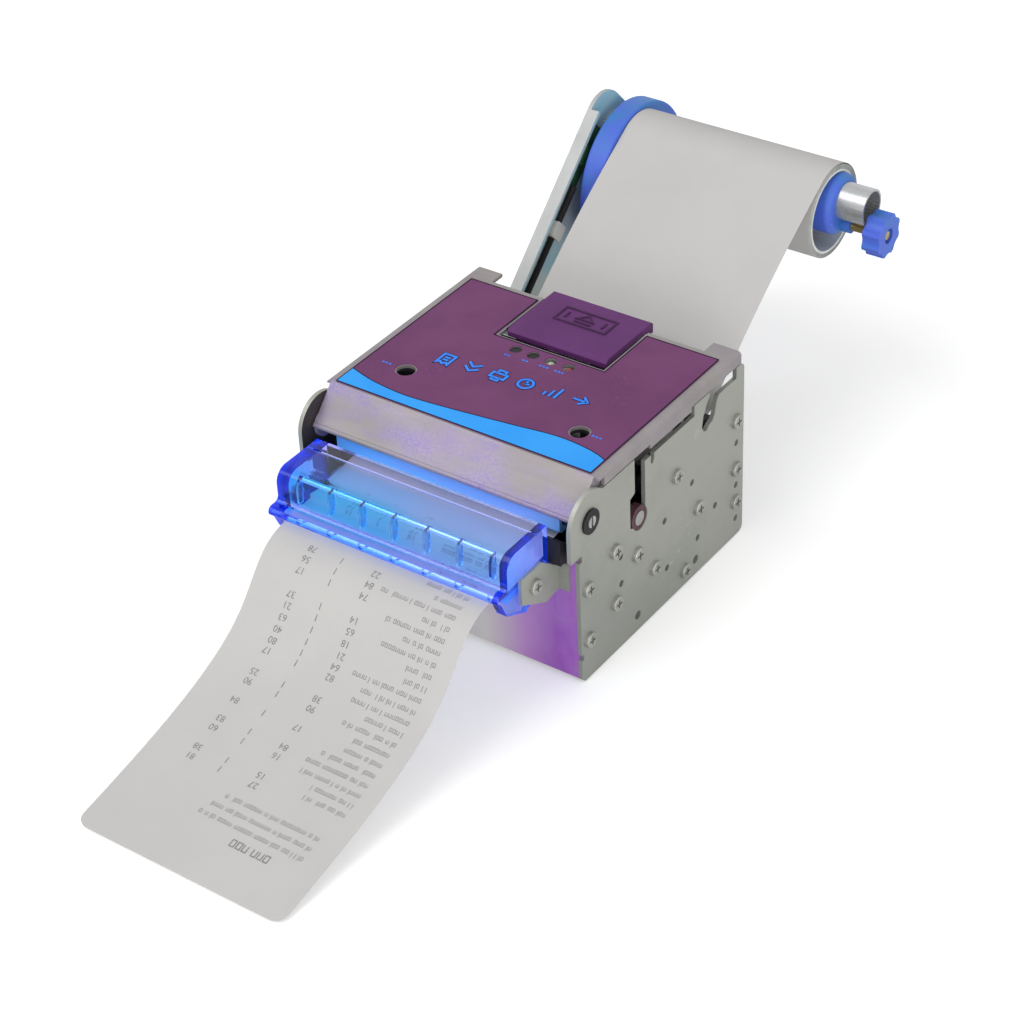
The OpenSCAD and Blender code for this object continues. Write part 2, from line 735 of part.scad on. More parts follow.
module cutter_frame() {
    x = cheek_x;
    blade_y = back(blade_back);
    color([0.5, 0.51, 0.52]) difference() {
        union() {
            translate([-x, back(frame_front), cutter_low]) cube([2 * x, frame_rear - frame_front, sheet_t]);
            translate([-x, back(frame_front), cutter_low]) cube([2 * x, sheet_t, cutter_high - cutter_low]);
            translate([-x, back(frame_rear) - sheet_t, cutter_low])
                cube([2 * x, sheet_t, cutter_high - cutter_low]);
            both_sides() for (y = [back(frame_front), blade_y + blade_t + 0.1])
                translate([blade_half - 6, y, blade_low - 6])
                    cube([5.5, y < blade_y ? blade_y - 0.1 - y : back(frame_rear) - y, 14]);
        }
        translate([cutter_x, back(frame_rear) + 1, cutter_z]) rotate([90, 0, 0]) cylinder(d = 5, h = 3);
    }
}

module rack_tooth(z) {
    tip = rack_m * (PI / 4 - tan(pressure) * gear_addendum) - gear_backlash;
    root = rack_m * (PI / 4 + tan(pressure) * gear_dedendum) - gear_backlash;
    translate([cutter_x - rack_r - gear_spread, z])
        polygon([[-gear_dedendum * rack_m - 0.1, -root], [gear_addendum * rack_m, -tip],
            [gear_addendum * rack_m, tip], [-gear_dedendum * rack_m - 0.1, root]]);
}

module moving_blade() {
    edge = cutter_x - rack_r - gear_spread - gear_dedendum * rack_m;
    color([0.8, 0.8, 0.8]) along_y(back(blade_back), back(blade_back) + blade_t) {
        polygon([[-blade_half, blade_low], [-blade_half, blade_top], [0, blade_top - blade_dip],
            [blade_half, blade_top], [blade_half, blade_low]]);
        translate([edge - rack_leg, rack_low]) square([rack_leg, blade_low - rack_low + 1]);
        for (i = [0:rack_teeth - 1]) rack_tooth(cutter_z + (i - 5) * PI * rack_m);
    }
}

module cutter_pinion() {
    y = back(blade_back) + blade_t / 2;
    color([0.93, 0.92, 0.88]) translate([cutter_x, 0, cutter_z]) along_y(y - 1.2, y + 1.2) difference() {
        rotate(180 + 180 / cutter_teeth) gear_outline(cutter_teeth, rack_m);
        circle(d = motor_shaft_d + 0.04);
    }
}

module cutter_motor() {
    y = back(blade_back) + blade_t / 2 - 1.2;
    color([0.7, 0.7, 0.7]) translate([cutter_x, 0, cutter_z]) rotate([-90, 0, 0]) {
        translate([0, 0, back(frame_rear)]) cylinder(d = 16, h = 18);
        translate([0, 0, y]) cylinder(d = motor_shaft_d, h = back(frame_rear) - y + 1);
    }
}

module fixed_blade() {
    color([0.8, 0.8, 0.8]) translate([-frame_x, back(blade_back) + blade_t + free_gap, head_low + 0.2])
        cube([2 * frame_x, sheet_t, 9]);
}
frame_wall = back(blade_back) + blade_t + free_gap + sheet_t;

// Lid

function lip_dir() = [lip_back - lid_front, lip_z - lid_h] / norm([lip_back - lid_front, lip_z - lid_h]);
lip_in = [-lip_dir()[1], lip_dir()[0]] * sheet_t;
inner_fold = [lid_front + lip_in[0] + lip_dir()[0] * (lip_in[1] + sheet_t) / -lip_dir()[1], lid_under];

module lid_holes(rim) {
    for (x = [-1, 1]) translate([x * access_x, back(access_back)]) circle(d = access_hole_d + rim);
    for (i = [-1.5:1.5]) translate([i * button_pitch, back(button_row)]) circle(d = button_hole_d);
}

module lid_cover() {
    lip = [back(lip_back), lip_z];
    hem_r = 1;
    color([0.66, 0.66, 0.64]) difference() {
        union() {
            // Top sheet with folded flanges
            along_y(back(lid_front), back(lid_ear_rear)) difference() {
                union() {
                    translate([-half, flange_low]) square([body_w, lid_h - fold_r - flange_low]);
                    translate([-half + fold_r, flange_low]) square([body_w - 2 * fold_r, lid_h - flange_low]);
                    for (s = [-1, 1]) translate([s * (half - fold_r), lid_h - fold_r]) circle(fold_r);
                }
                translate([-half + sheet_t, flange_low - 1])
                    square([body_w - 2 * sheet_t, lid_under - flange_low + 1]);
            }
            // Tongues of the flanges in the side plates' top slots
            both_sides() translate([half - sheet_t, back(platen_back + 6.4), tongue_z])
                cube([sheet_t, latch_back - platen_back - 16, flange_low - tongue_z + 0.1]);
            // Sloped front with its rolled lip
            along_x(-ear_x - ear_t, ear_x + ear_t) {
                polygon([[back(lid_front), lid_h], lip, lip + lip_in,
                    [back(inner_fold[0]), inner_fold[1]], [back(lid_front + 3), lid_under],
                    [back(lid_front + 3), lid_h]]);
                translate(lip + lip_in / 2) circle(hem_r);
            }
            // Hinge ears inside the side plates
            both_sides() along_x(ear_x, ear_x + ear_t) {
                polygon([[back(inner_fold[0]), inner_fold[1]], lip + lip_in,
                    [back(hinge_back) - 3.4, hinge_z - 3.4], [back(hinge_back) + 3.4, hinge_z - 3.4],
                    [back(22), lid_under + 0.1]]);
                translate([back(hinge_back), hinge_z]) circle(hinge_pin_d / 2 + 2.8);
            }
        }
        // The flanges stop behind the hinge
        both_sides() translate([inner - 0.1, back(lid_front) - 1, flange_low - 1])
            cube([plate_t + 1, flange_back - lid_front + 1, lid_under - flange_low + 1]);
        // Rear edge between the two ears
        translate([-lid_ear_x, back(lid_rear), lid_under - 1]) cube([2 * lid_ear_x, 20, 10]);
        translate([-cut_x, back(cut_front), lid_under - 1]) cube([2 * cut_x, 60, 10]);
        translate([0, 0, lid_under - 1]) linear_extrude(10) lid_holes(0);
        both_sides() hole_x(back(hinge_back), hinge_z, hinge_pin_d + 0.04, ear_x - 3, half);
    }
}

// Plastic guide behind the lid's lip, over the paper
module upper_guide() {
    x = mouth_half - 1;
    face = [lip_back, lip_z] + lip_in;
    function at(along) = face - lip_dir() * along;
    low = path_z + 2.6;
    bend = 1.4;
    d0 = at(1.5)[0];
    color([0.35, 0.55, 0.95]) along_x(-x, x) translate([front, 0]) {
        polygon([at(1.5), at(6), at(6) + lip_in, [d0 + bend, at(1.5)[1]], [d0 + bend, low + bend],
            [d0, low + bend]]);
        translate([d0 + bend, low + bend]) circle(bend);
        translate([d0 + bend, low]) square([blade_back - 1 - d0 - bend, bend]);
    }
}

module lid_label() {
    color([0.48, 0.3, 0.49]) translate([0, 0, lid_h]) linear_extrude(label_t) difference() {
        translate([-label_x, back(label_front)])
            rounded_square([2 * label_x, label_rear - label_front], label_r);
        translate([-cut_x - 0.8, back(cut_front - 0.8)]) square([2 * cut_x + 1.6, 60]);
        lid_holes(0.8);
    }
}

module lid_frame() {
    low = head_top + head_float + frame_gap;
    y0 = frame_wall;
    color([0.55, 0.57, 0.56]) difference() {
        union() {
            translate([-frame_x - sheet_t, y0, lid_under - sheet_t])
                cube([2 * (frame_x + sheet_t), back(latch_back + 9) - y0, sheet_t]);
            translate([-frame_x - sheet_t, y0, head_low + 4])
                cube([2 * (frame_x + sheet_t), sheet_t, lid_under - head_low - 4]);
            both_sides() along_x(frame_x, frame_x + sheet_t)
                polygon([[y0, lid_under], [y0, low], [back(46), low], [back(58), lid_under - 7.4],
                    [back(latch_back - 6), latch_z - 4], [back(latch_back + 5), latch_z - 4],
                    [back(latch_back + 9), lid_under - 6.4], [back(latch_back + 9), lid_under]]);
        }
        translate([-tab_w / 2 - 5, back(button_row - 8.5), lid_under - 3]) cube([tab_w + 10, 60, 5]);
        for (x = [-1, 1]) {
            translate([x * access_x, back(access_back), lid_under - 3]) cylinder(d = access_hole_d, h = 5);
            translate([x * guide_pin_x, back((head_front + head_rear) / 2 + 4), lid_under - 3])
                cylinder(d = guide_pin_d + 2 * run_gap, h = 5);
        }
        both_sides() hole_x(back(latch_back), latch_z, latch_d + 2 * run_gap, frame_x - 1, frame_x + 3);
    }
}

module hinge_pins() {
    color([0.7, 0.7, 0.68]) both_sides() difference() {
        translate([0, back(hinge_back), hinge_z]) rotate([0, 90, 0]) {
            translate([0, 0, ear_x]) cylinder(d = hinge_pin_d, h = half + 1 - ear_x);
            translate([0, 0, ear_x - 1.5]) cylinder(d = hinge_pin_d + 2, h = 1.5);
        }
        translate([half + 0.4, back(hinge_back) - 0.4, hinge_z - 5]) cube([5, 0.8, 10]);
    }
}

module head_plate() {
    fin_pitch = 3.4;
    mid = back((head_front + head_rear) / 2 + 4);
    color([0.75, 0.76, 0.77]) {
        difference() {
            translate([-head_half, back(head_front), head_low + head_strip_h])
                cube([2 * head_half, head_rear - head_front, head_plate_h]);
            for (i = [0:2]) translate([-head_half - 1, back(head_front + 3 + i * fin_pitch), head_top - 2])
                cube([2 * head_half + 2, fin_pitch / 2, 3]);
        }
        for (x = [-1, 1]) translate([x * guide_pin_x, mid, head_top - 0.1])
            cylinder(d = guide_pin_d, h = lid_under - head_top + 0.1 - head_float - 0.1);
    }
}

module print_head() {
    color([0.9, 0.9, 0.88]) {
        translate([-head_half, back(platen_back - 5), head_low]) cube([2 * head_half, 12, head_strip_h]);
    }
}

// Helix from the head's top to the lid frame
function helix_ring(a, turns, d, h, wire) = let(sides = 6)
    [for (k = [0:sides - 1]) let(b = k * 360 / sides, r = d / 2 + wire / 2 * cos(b))
        [r * cos(a * 360), r * sin(a * 360), wire / 2 + (h - wire) * a / turns + wire / 2 * sin(b)]];
module coil(turns, d, h, wire) {
    steps = turns * 8;
    sides = 6;
    points = [for (i = [0:steps]) each helix_ring(i / 8, turns, d, h, wire)];
    polyhedron(points, concat(
        [[for (k = [0:sides - 1]) k]],
        [for (i = [0:steps - 1], k = [0:sides - 1]) let(a = i * sides + k, b = i * sides + (k + 1) % sides)
            each [[a, b + sides, b], [a, a + sides, b + sides]]],
        [[for (k = [sides - 1:-1:0]) steps * sides + k]]));
}
module head_springs() {
    color([0.78, 0.78, 0.76]) for (x = [-1, 1])
        translate([x * spring_x, back((head_front + head_rear) / 2 + 4), head_top + 0.05])
            coil(spring_turns, spring_d, lid_under - sheet_t - head_top - 0.1, spring_wire);
}

module release_lever() {
    y0 = back(latch_back - 8.4);
    y1 = back(latch_back + 20);
    rise = 0.9;
    top0 = lid_h + label_t;
    boss_r = latch_d / 2 + 2.4;
    color([0.42, 0.25, 0.43]) difference() {
        union() {
            along_x(-tab_w / 2, tab_w / 2) polygon([[y0, lid_under - 0.6], [y0, top0 - 0.3],
                [y0 + 1.4, top0 + rise], [y1 - 0.8, top0 + rise], [y1, top0 + rise - 0.8], [y1, top0 - 3.2],
                [y1 - 2.2, top0 - 3.2], [y1 - 3, top0 - 1.6], [back(latch_back + 6), lid_under - 0.6]]);
            both_sides() along_x(tab_w / 2 - 7, tab_w / 2 - 2) {
                translate([back(latch_back), latch_z]) circle(boss_r);
                polygon([[back(latch_back) - boss_r, latch_z], [y0 + 1, lid_under],
                    [back(latch_back + 6), lid_under], [back(latch_back) + boss_r, latch_z]]);
            }
        }
        hole_x(back(latch_back), latch_z, latch_d + 0.04, -tab_w, tab_w);
    }
}

module latch_shaft() {
    color([0.72, 0.72, 0.72]) hole_x(back(latch_back), latch_z, latch_d, -cheek_x + 0.8, cheek_x - 0.8);
}

latch_pin_d = 3.6;
latch_pin_back = latch_back - 6.6;
latch_pin_z = latch_z - 5.6;
hook_x = half - 7.5;
module latch_hooks() {
    color([0.6, 0.6, 0.6]) both_sides() difference() {
        along_x(hook_x, hook_x + 1.5) {
            translate([back(latch_back), latch_z]) circle(latch_d / 2 + 2);
            polygon([for (p = [[-3.4, 0], [-2.6, -6], [-4.5, -7.9], [-3.8, -9], [0, -9], [3, -5], [3.4, 0]])
                [back(latch_back) + p[0], latch_z + p[1]]]);
        }
        hole_x(back(latch_back), latch_z, latch_d + 0.04, hook_x - 1, hook_x + 3);
    }
}

module latch_pins() {
    color([0.72, 0.72, 0.72]) both_sides()
        hole_x(back(latch_pin_back), latch_pin_z, latch_pin_d, hook_x - 0.5, half);
}

board_z = lid_h - 7.6;
board_t = 1.2;
switch_h = 0.6;
module button(index) {
    low = board_z + board_t + switch_h + button_travel + 0.1;
    translate([(index - 1.5) * button_pitch, back(button_row), low])
        cylinder(d = button_d, h = lid_h - 0.2 - low);
}
module feed_button() {
    color([0.1, 0.1, 0.1]) button(0);
}
module reset_button() {
    color([0.1, 0.1, 0.1]) button(1);
}

module status_leds() {
    color([0.5, 0.6, 0.45]) for (i = [2, 3])
        translate([(i - 1.5) * button_pitch, back(button_row), board_z + board_t]) {
            cylinder(d = 3, h = lid_h - board_z - board_t - 1.7);
            translate([0, 0, lid_h - board_z - board_t - 1.7]) intersection() {
                sphere(d = 3, $fn = 32);
                translate([-3, -3, 0]) cube(6);
            }
        }
}

module button_board() {
    color([0.1, 0.35, 0.2]) {
        translate([-16, back(52.5), board_z]) cube([32, 9.5, board_t]);
        for (i = [0, 1]) translate([(i - 1.5) * button_pitch - 2.2, back(button_row) - 2.2, board_z + board_t])
            cube([4.4, 4.4, switch_h]);
        for (x = [-1, 1]) translate([x * 13.8, back(54.5), board_z])
            cylinder(d = 3.6, h = lid_under - board_z);
    }
}

// Electronics behind the mechanism

control_z = 5.4;
board_rear = rear - 10;
board_l = 36;
module control_board() {
    top = control_z + 1.6;
    color([0.1, 0.35, 0.2]) {
        translate([35 - half, board_rear - board_l, control_z]) cube([body_w - 40, board_l, 1.6]);
        translate([half - 57, board_rear - 28, top]) cube([14, 14, 1.6]);
        translate([half - 33, board_rear - 26, top]) cube([9, 7, 1.4]);
        for (x = [half - 19, half - 12]) translate([x, board_rear - 22, top]) cylinder(d = 6, h = 9);
    }
}

module board_posts() {
    color([0.75, 0.6, 0.3]) for (x = [39 - half, half - 9], y = [board_l - 3.5, 3.5])
        translate([x, board_rear - y, sheet_t]) cylinder(d = 5, h = control_z - sheet_t, $fn = 6);
}

module data_port() {
    color([0.78, 0.78, 0.76]) translate([port_x, 0, port_low + port_h / 2])
        along_y(rear - 15.5, rear - 1.2) difference() {
            square([port_w, port_h], center = true);
            square([port_w - 1.4, port_h - 1.4], center = true);
        }
    color([0.78, 0.78, 0.76]) translate([port_x - port_w / 2, rear - 15.5, control_z + 1.6])
        cube([port_w, 4, port_low + 1 - control_z - 1.6]);
}

module power_inlet() {
    color([0.08, 0.08, 0.09]) difference() {
        union() {
            translate([inlet_x - inlet_w / 2, rear - 16, control_z + 1.6])
                cube([inlet_w, 12.8, port_low + inlet_h - control_z - 1.6]);
            translate([inlet_x - inlet_w / 2, rear - 4, port_low]) cube([inlet_w, 2.8, inlet_h]);
        }
        translate([inlet_x, rear, port_low + inlet_h / 2]) rotate([90, 0, 0]) cylinder(d = 8, h = 10);
    }
}

// Roll holder

// Arm frame: u runs up the arm from the spindle, v towards the printer's top
module arm_place() {
    translate([spindle_y, spindle_z]) rotate(arm_slope) children();
}
function arm_point(u, v, x) = [x, spindle_y + u * cos(arm_slope) - v * sin(arm_slope),
    spindle_z + u * sin(arm_slope) + v * cos(arm_slope)];
module on_spindle() {
    translate([0, spindle_y, spindle_z]) children();
}
module on_tube() {
    translate([0, spindle_y, spindle_z + tube_rise]) children();
}
module on_roll() {
    translate([0, back(roll_back), roll_z]) children();
}
module turned(x0) {
    translate([x0, 0, 0]) rotate([0, 90, 0]) children();
}

arm_screws_at = concat(rear_screws, arm_extra_screws);
module roll_arm() {
    head = -28.8;
    fold_low = -90.8;
    color([0.74, 0.75, 0.74]) {
        along_x(arm_x - arm_t, arm_x) difference() {
            union() {
                arm_place() {
                    translate([head, arm_rear])
                        rounded_square([arm_top - head, arm_front - arm_rear], arm_corner);
                    translate([neck_low, neck_rear]) square([-neck_low, arm_front - neck_rear]);
                    polygon([[head - 36, neck_rear + 0.1], [head + 12, arm_rear],
                        [head + 12, neck_rear + 0.1]]);
                }
                translate([back(body_d - 24), 5]) rounded_square([23.4, 34], 4);
            }
            for (p = arm_screws_at) translate([back(p[0]), p[1]]) circle(d = screw_d + 0.2);
            arm_place() for (u = [head - 38, head - 46]) translate([u, arm_front - 10.6]) circle(d = 3.2);
        }
        along_x(arm_x - arm_t, arm_x + arm_fold - arm_t) arm_place()
            translate([fold_low, arm_front - arm_t]) square([arm_top - arm_corner - fold_low, arm_t]);
    }
}

module arm_screws() {
    color([0.75, 0.75, 0.74]) mirror([1, 0, 0]) for (p = arm_screws_at)
        translate([half + arm_t, back(p[0]), p[1]]) pan_screw(screw_reach + arm_t);
}

module spindle_tube() {
    plug = 9;
    color([0.78, 0.78, 0.77]) on_tube() turned(arm_x) difference() {
        union() {
            cylinder(d = tube_d, h = tube_reach - arm_x);
            cylinder(d = tube_d + 6, h = disc_left - 1.2 - arm_x);
        }
        translate([0, 0, plug]) cylinder(d = tube_d - 2 * tube_t, h = body_w * 2);
    }
}

module guide_disc() {
    color([0.33, 0.41, 0.84]) difference() {
        union() {
            on_spindle() translate([0, 0, -disc_drop]) turned(disc_left) rotate_extrude($fn = 96) {
                translate([0, 0.8]) square([disc_d / 2, disc_t - 1.6]);
                square([disc_d / 2 - 0.8, disc_t]);
                for (z = [0.8, disc_t - 0.8]) translate([disc_d / 2 - 0.8, z]) circle(0.8, $fn = 24);
            }
            on_spindle() turned(disc_left) cylinder(d = hub_d, h = disc_t + disc_boss);
            on_tube() turned(disc_left - 1.2) cylinder(d = tube_d + 6, h = 2);
        }
        on_tube() turned(disc_left - 5) cylinder(d = tube_d + 2 * run_gap, h = 40);
    }
}

module paper_core() {
    color([0.62, 0.5, 0.36]) on_roll() turned(-paper_w / 2) difference() {
        cylinder(d = core_d, h = paper_w);
        translate([0, 0, -1]) cylinder(d = core_bore_d, h = paper_w + 2);
    }
}

module paper_roll() {
    color([0.88, 0.87, 0.85]) on_roll() turned(-paper_w / 2) difference() {
        cylinder(d = roll_d, h = paper_w, $fn = 96);
        translate([0, 0, -1]) cylinder(d = core_d + 0.04, h = paper_w + 2);
    }
}

module lock_hub() {
    edge = 2.6;
    color([0.33, 0.41, 0.84]) difference() {
        union() {
            on_spindle() turned(hub_in) rotate_extrude($fn = 64) {
                square([hub_d / 2 - edge, hub_out - hub_in]);
                translate([0, 0.6]) square([hub_d / 2, hub_out - hub_in - edge - 0.6]);
                square([hub_d / 2 - 0.6, 1]);
                translate([hub_d / 2 - edge, hub_out - hub_in - edge]) circle(edge);
            }
            on_tube() translate([0, 0, -knob_drop]) turned(hub_out - 4)
                cylinder(d = 5.8, h = hub_boss_out - hub_out + 4);
        }
        on_tube() {
            turned(hub_in - 1) cylinder(d = tube_d + 2 * run_gap, h = 60);
            translate([0, 0, -knob_drop]) turned(hub_in - 1) cylinder(d = knob_screw_d + 2 * run_gap, h = 60);
        }
    }
}

module lock_knob() {
    flutes = 8;
    flute_r = knob_d * 0.26;
    color([0.33, 0.41, 0.84]) on_tube() translate([0, 0, -knob_drop]) turned(knob_in) difference() {
        linear_extrude(knob_l) difference() {
            circle(d = knob_d);
            for (i = [0:flutes - 1]) rotate(i * 360 / flutes)
                translate([knob_d / 2 + flute_r - 1, 0]) circle(flute_r);
        }
        translate([0, 0, -1]) cylinder(d = knob_screw_d + 0.04, h = 20);
        translate([0, 0, knob_l - 2]) cylinder(d = knob_screw_d + 2.4, h = 3);
    }
}

module knob_screw() {
    color([0.75, 0.65, 0.4]) on_tube() translate([0, 0, -knob_drop]) {
        turned(hub_out - 6) cylinder(d = knob_screw_d, h = knob_in + knob_l - hub_out + 5.4);
        turned(hub_boss_out + 0.6) cylinder(d = 4, h = knob_in - hub_boss_out - 0.6, $fn = 6);
    }
}

// Low-paper sensor on the arm, its cable and the clip that holds it

sensor_u = -12.8;
sensor_v = arm_front - 10;
module low_paper_sensor() {
    color([0.16, 0.3, 0.18]) along_x(arm_x, arm_x + 1) arm_place()
        translate([sensor_u - 12, sensor_v]) square([24, 8]);
    color([0.08, 0.08, 0.08]) along_x(arm_x + 1, arm_x + 2.4) arm_place()
        translate([sensor_u - 4, sensor_v + 2]) square([7, 5]);
}

clip_u = -42;
cable_turn = -82.8;
cable_v = arm_front - 7.2;
cable_x = arm_x + 1.8;
cable_route = [arm_point(sensor_u - 12, cable_v, cable_x), arm_point(clip_u + 9, cable_v, cable_x),
    arm_point(clip_u, cable_v, cable_x), arm_point(clip_u - 14, cable_v, cable_x),
    arm_point(cable_turn + 12, cable_v, cable_x), arm_point(cable_turn, cable_v - 1, cable_x + 0.6),
    [3.4 - half, rear + 5.5, grommet_z + 1.5],
    [5.6 - half, rear + 2, grommet_z + 0.4], [grommet_x - 0.6, rear - 0.5, grommet_z],
    [grommet_x, rear - 4, grommet_z]];
// Smooth route through the points, sampled evenly on each stretch
function route_point(p, i, t) =
    let(a = p[max(i - 1, 0)], b = p[i], c = p[i + 1], d = p[min(i + 2, len(p) - 1)])
    0.5 * (2 * b + (c - a) * t + (2 * a - 5 * b + 4 * c - d) * t * t + (3 * b - a - 3 * c + d) * t * t * t);
function ring(at, dir, d) =
    let(n = dir / norm(dir), s = cross(n, [0, 0.6, 0.8]), e = s / norm(s), f = cross(n, e))
    [for (k = [0:7]) at + d / 2 * (cos(k * 45) * e + sin(k * 45) * f)];
module sensor_cable() {
    steps = 3;
    last = (len(cable_route) - 1) * steps;
    line = [for (i = [0:len(cable_route) - 2], k = [0:steps - 1]) route_point(cable_route, i, k / steps),
        cable_route[len(cable_route) - 1]];
    points = [for (i = [0:last]) each ring(line[i], line[min(i + 1, last)] - line[max(i - 1, 0)], cable_d)];
    color([0.05, 0.05, 0.05]) polyhedron(points, concat(
        [[for (k = [0:7]) k]],
        [for (i = [0:last - 1], k = [0:7]) let(a = i * 8 + k, b = i * 8 + (k + 1) % 8)
            each [[a, b + 8, b], [a, a + 8, b + 8]]],
        [[for (k = [7:-1:0]) last * 8 + k]]));
}

module cable_clip() {
    color([0.9, 0.9, 0.88]) difference() {
        along_x(arm_x, arm_x + 3.6) arm_place() translate([clip_u - 3, cable_v - 3.4])
            rounded_square([6, 6.8], 1);
        translate(arm_point(clip_u, cable_v, cable_x)) rotate([arm_slope, 0, 0]) rotate([90, 0, 0])
            cylinder(d = cable_d + 0.3, h = 20, center = true);
    }
}

// Paper outside the roll

function stretch(p, n) = [for (i = [0:n - 1]) bezier(p, i / n)];
receipt_route = concat(
    stretch([[cut_gap_front, 49.6], [0, 48.5], [-18, 47.1], [-30, 46]], 4),
    stretch([[-30, 46], [-44, 44.5], [-46, 33], [-58, 24]], 8),
    stretch([[-58, 24], [-74, 12], [-104, 6], [-receipt_reach, 0.25]], 8),
    [[-receipt_reach, 0.25]]);
module receipt_paper() {
    n = len(receipt_route);
    corner = 4;
    color([0.8, 0.79, 0.78]) intersection() {
        along_x(-paper_w / 2, paper_w / 2) polygon(concat(
            [for (p = receipt_route) [back(p[0]), p[1]]],
            [for (i = [n - 1:-1:0]) [back(receipt_route[i][0]), receipt_route[i][1] + paper_t]]));
        linear_extrude(100) translate([-paper_w / 2, back(-receipt_reach) - 1])
            translate([0, 1]) rounded_square([paper_w, 200], corner);
    }
}

// The web leaves the roll's top as a tangent
web_r = roll_d / 2 + free_gap;
web_reach = [roll_back - body_d, roll_z - inlet_z];
web_angle = 180 + atan2(web_reach[1], web_reach[0]) - acos(web_r / norm(web_reach));
web_top = [roll_back + web_r * cos(web_angle), roll_z + web_r * sin(web_angle)];
web_bulge = 2.5;
web_route = concat(
    [for (t = [0:0.125:0.999]) [web_top[0] + (body_d - web_top[0]) * t,
        web_top[1] + (inlet_z - web_top[1]) * t + web_bulge * sin(180 * t)]],
    [for (d = [body_d, body_d - 18, body_d - 38, platen_back + 9.6]) [d, feed_z(d)]],
    [[platen_back, path_z], [cut_gap_rear, path_z - 0.2]]);
module paper_web() {
    n = len(web_route);
    color([0.8, 0.79, 0.78]) along_x(-paper_w / 2, paper_w / 2) polygon(concat(
        [for (p = web_route) [back(p[0]), p[1]]],
        [for (i = [n - 1:-1:0]) [back(web_route[i][0]), web_route[i][1] + paper_t]]));
}

base_plate();
right_side_plate();
left_side_plate();
mechanism_cheeks();
front_panel();
rear_panel();
panel_screws();
hinge_bushes();
mouth_hood();
mouth_guide();
mouth_brackets();
end_blocks();
paper_guide();
platen_shaft();
platen_rubber();
platen_bushes();
platen_gear();
idler_gear();
upper_guide();
motor_pinion();
feed_motor();
drive_bracket();
cutter_frame();
moving_blade();
cutter_pinion();
cutter_motor();
fixed_blade();
lid_cover();
lid_label();
lid_frame();
hinge_pins();
head_plate();
print_head();
head_springs();
release_lever();
latch_shaft();
latch_hooks();
latch_pins();
feed_button();
reset_button();
status_leds();
button_board();
control_board();
board_posts();
data_port();
power_inlet();
roll_arm();
arm_screws();
spindle_tube();
guide_disc();
paper_core();
paper_roll();
lock_hub();
lock_knob();
knob_screw();
low_paper_sensor();
sensor_cable();
cable_clip();
receipt_paper();
paper_web();
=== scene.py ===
import math
import random

import bpy
from mathutils import Matrix, Vector


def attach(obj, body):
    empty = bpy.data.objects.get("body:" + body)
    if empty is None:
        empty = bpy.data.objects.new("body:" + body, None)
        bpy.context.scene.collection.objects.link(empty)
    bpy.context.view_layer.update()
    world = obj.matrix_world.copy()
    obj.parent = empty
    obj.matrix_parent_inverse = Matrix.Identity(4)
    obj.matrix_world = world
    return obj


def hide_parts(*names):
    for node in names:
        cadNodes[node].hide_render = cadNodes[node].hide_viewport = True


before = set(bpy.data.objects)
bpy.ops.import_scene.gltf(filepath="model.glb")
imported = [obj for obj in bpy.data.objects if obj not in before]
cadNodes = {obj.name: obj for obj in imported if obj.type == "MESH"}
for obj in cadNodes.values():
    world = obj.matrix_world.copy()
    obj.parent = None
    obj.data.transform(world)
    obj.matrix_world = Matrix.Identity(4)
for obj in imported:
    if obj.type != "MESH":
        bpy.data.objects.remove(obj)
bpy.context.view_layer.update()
mm = 0.001
frontEdge = -49.0  # y of the side plates' front edge, in millimetres
print("frame loaded:", len(cadNodes), "nodes")


def clearSelection():
    if bpy.context.object and bpy.context.object.mode != "OBJECT":
        bpy.ops.object.mode_set(mode="OBJECT")
    bpy.ops.object.select_all(action="DESELECT")


def pick(piece):
    clearSelection()
    piece.select_set(True)
    bpy.context.view_layer.objects.active = piece


clearSelection()

# camera at the photograph's viewing angle
viewSetup = dict(place=(0.4083, -0.5581, 0.5188), azimuth=36.74, elevation=35.96, roll=-2.86, lens=89.27,
                 sensor=36, nearest=0.01)


def addCamera(setup):
    turn, rise, tilt = (math.radians(setup[key]) for key in ("azimuth", "elevation", "roll"))
    back = Vector((math.sin(turn) * math.cos(rise), -math.cos(turn) * math.cos(rise), math.sin(rise)))
    level = Vector((math.cos(turn), math.sin(turn), 0))
    upright = back.cross(level)
    right = math.cos(tilt) * level + math.sin(tilt) * upright
    up = math.cos(tilt) * upright - math.sin(tilt) * level
    data = bpy.data.cameras.new("photoCamera")
    data.lens = setup["lens"]
    data.sensor_width = setup["sensor"]
    data.clip_start = setup["nearest"]
    camera = bpy.data.objects.new("photoCamera", data)
    bpy.context.scene.collection.objects.link(camera)
    rows = [(right[k], up[k], back[k], setup["place"][k]) for k in range(3)]
    camera.matrix_world = Matrix((*rows, (0, 0, 0, 1)))
    bpy.context.scene.camera = camera


addCamera(viewSetup)
bpy.context.scene.view_settings.view_transform = "Standard"
print("camera placed")


# small helpers for node trees

def srgb(r, g, b):
    def one(v):
        v = v / 255
        return v / 12.92 if v <= 0.04045 else ((v + 0.055) / 1.055) ** 2.4
    return (one(r), one(g), one(b), 1)


def addNode(tree, kind, **settings):
    made = tree.nodes.new(kind)
    for key, value in settings.items():
        setattr(made, key, value)
    return made


def setInputs(node, **values):
    for key, value in values.items():
        node.inputs[key.replace("_", " ")].default_value = value


# a link where the value is a socket, a plain value otherwise
def feed(tree, socket, value):
    if isinstance(value, bpy.types.NodeSocket):
        tree.links.new(value, socket)
    else:
        socket.default_value = value


def calculate(tree, operation, *values):
    step = addNode(tree, "ShaderNodeMath", operation=operation)
    for socket, value in zip(step.inputs, values):
        feed(tree, socket, value)
    return step.outputs[0]


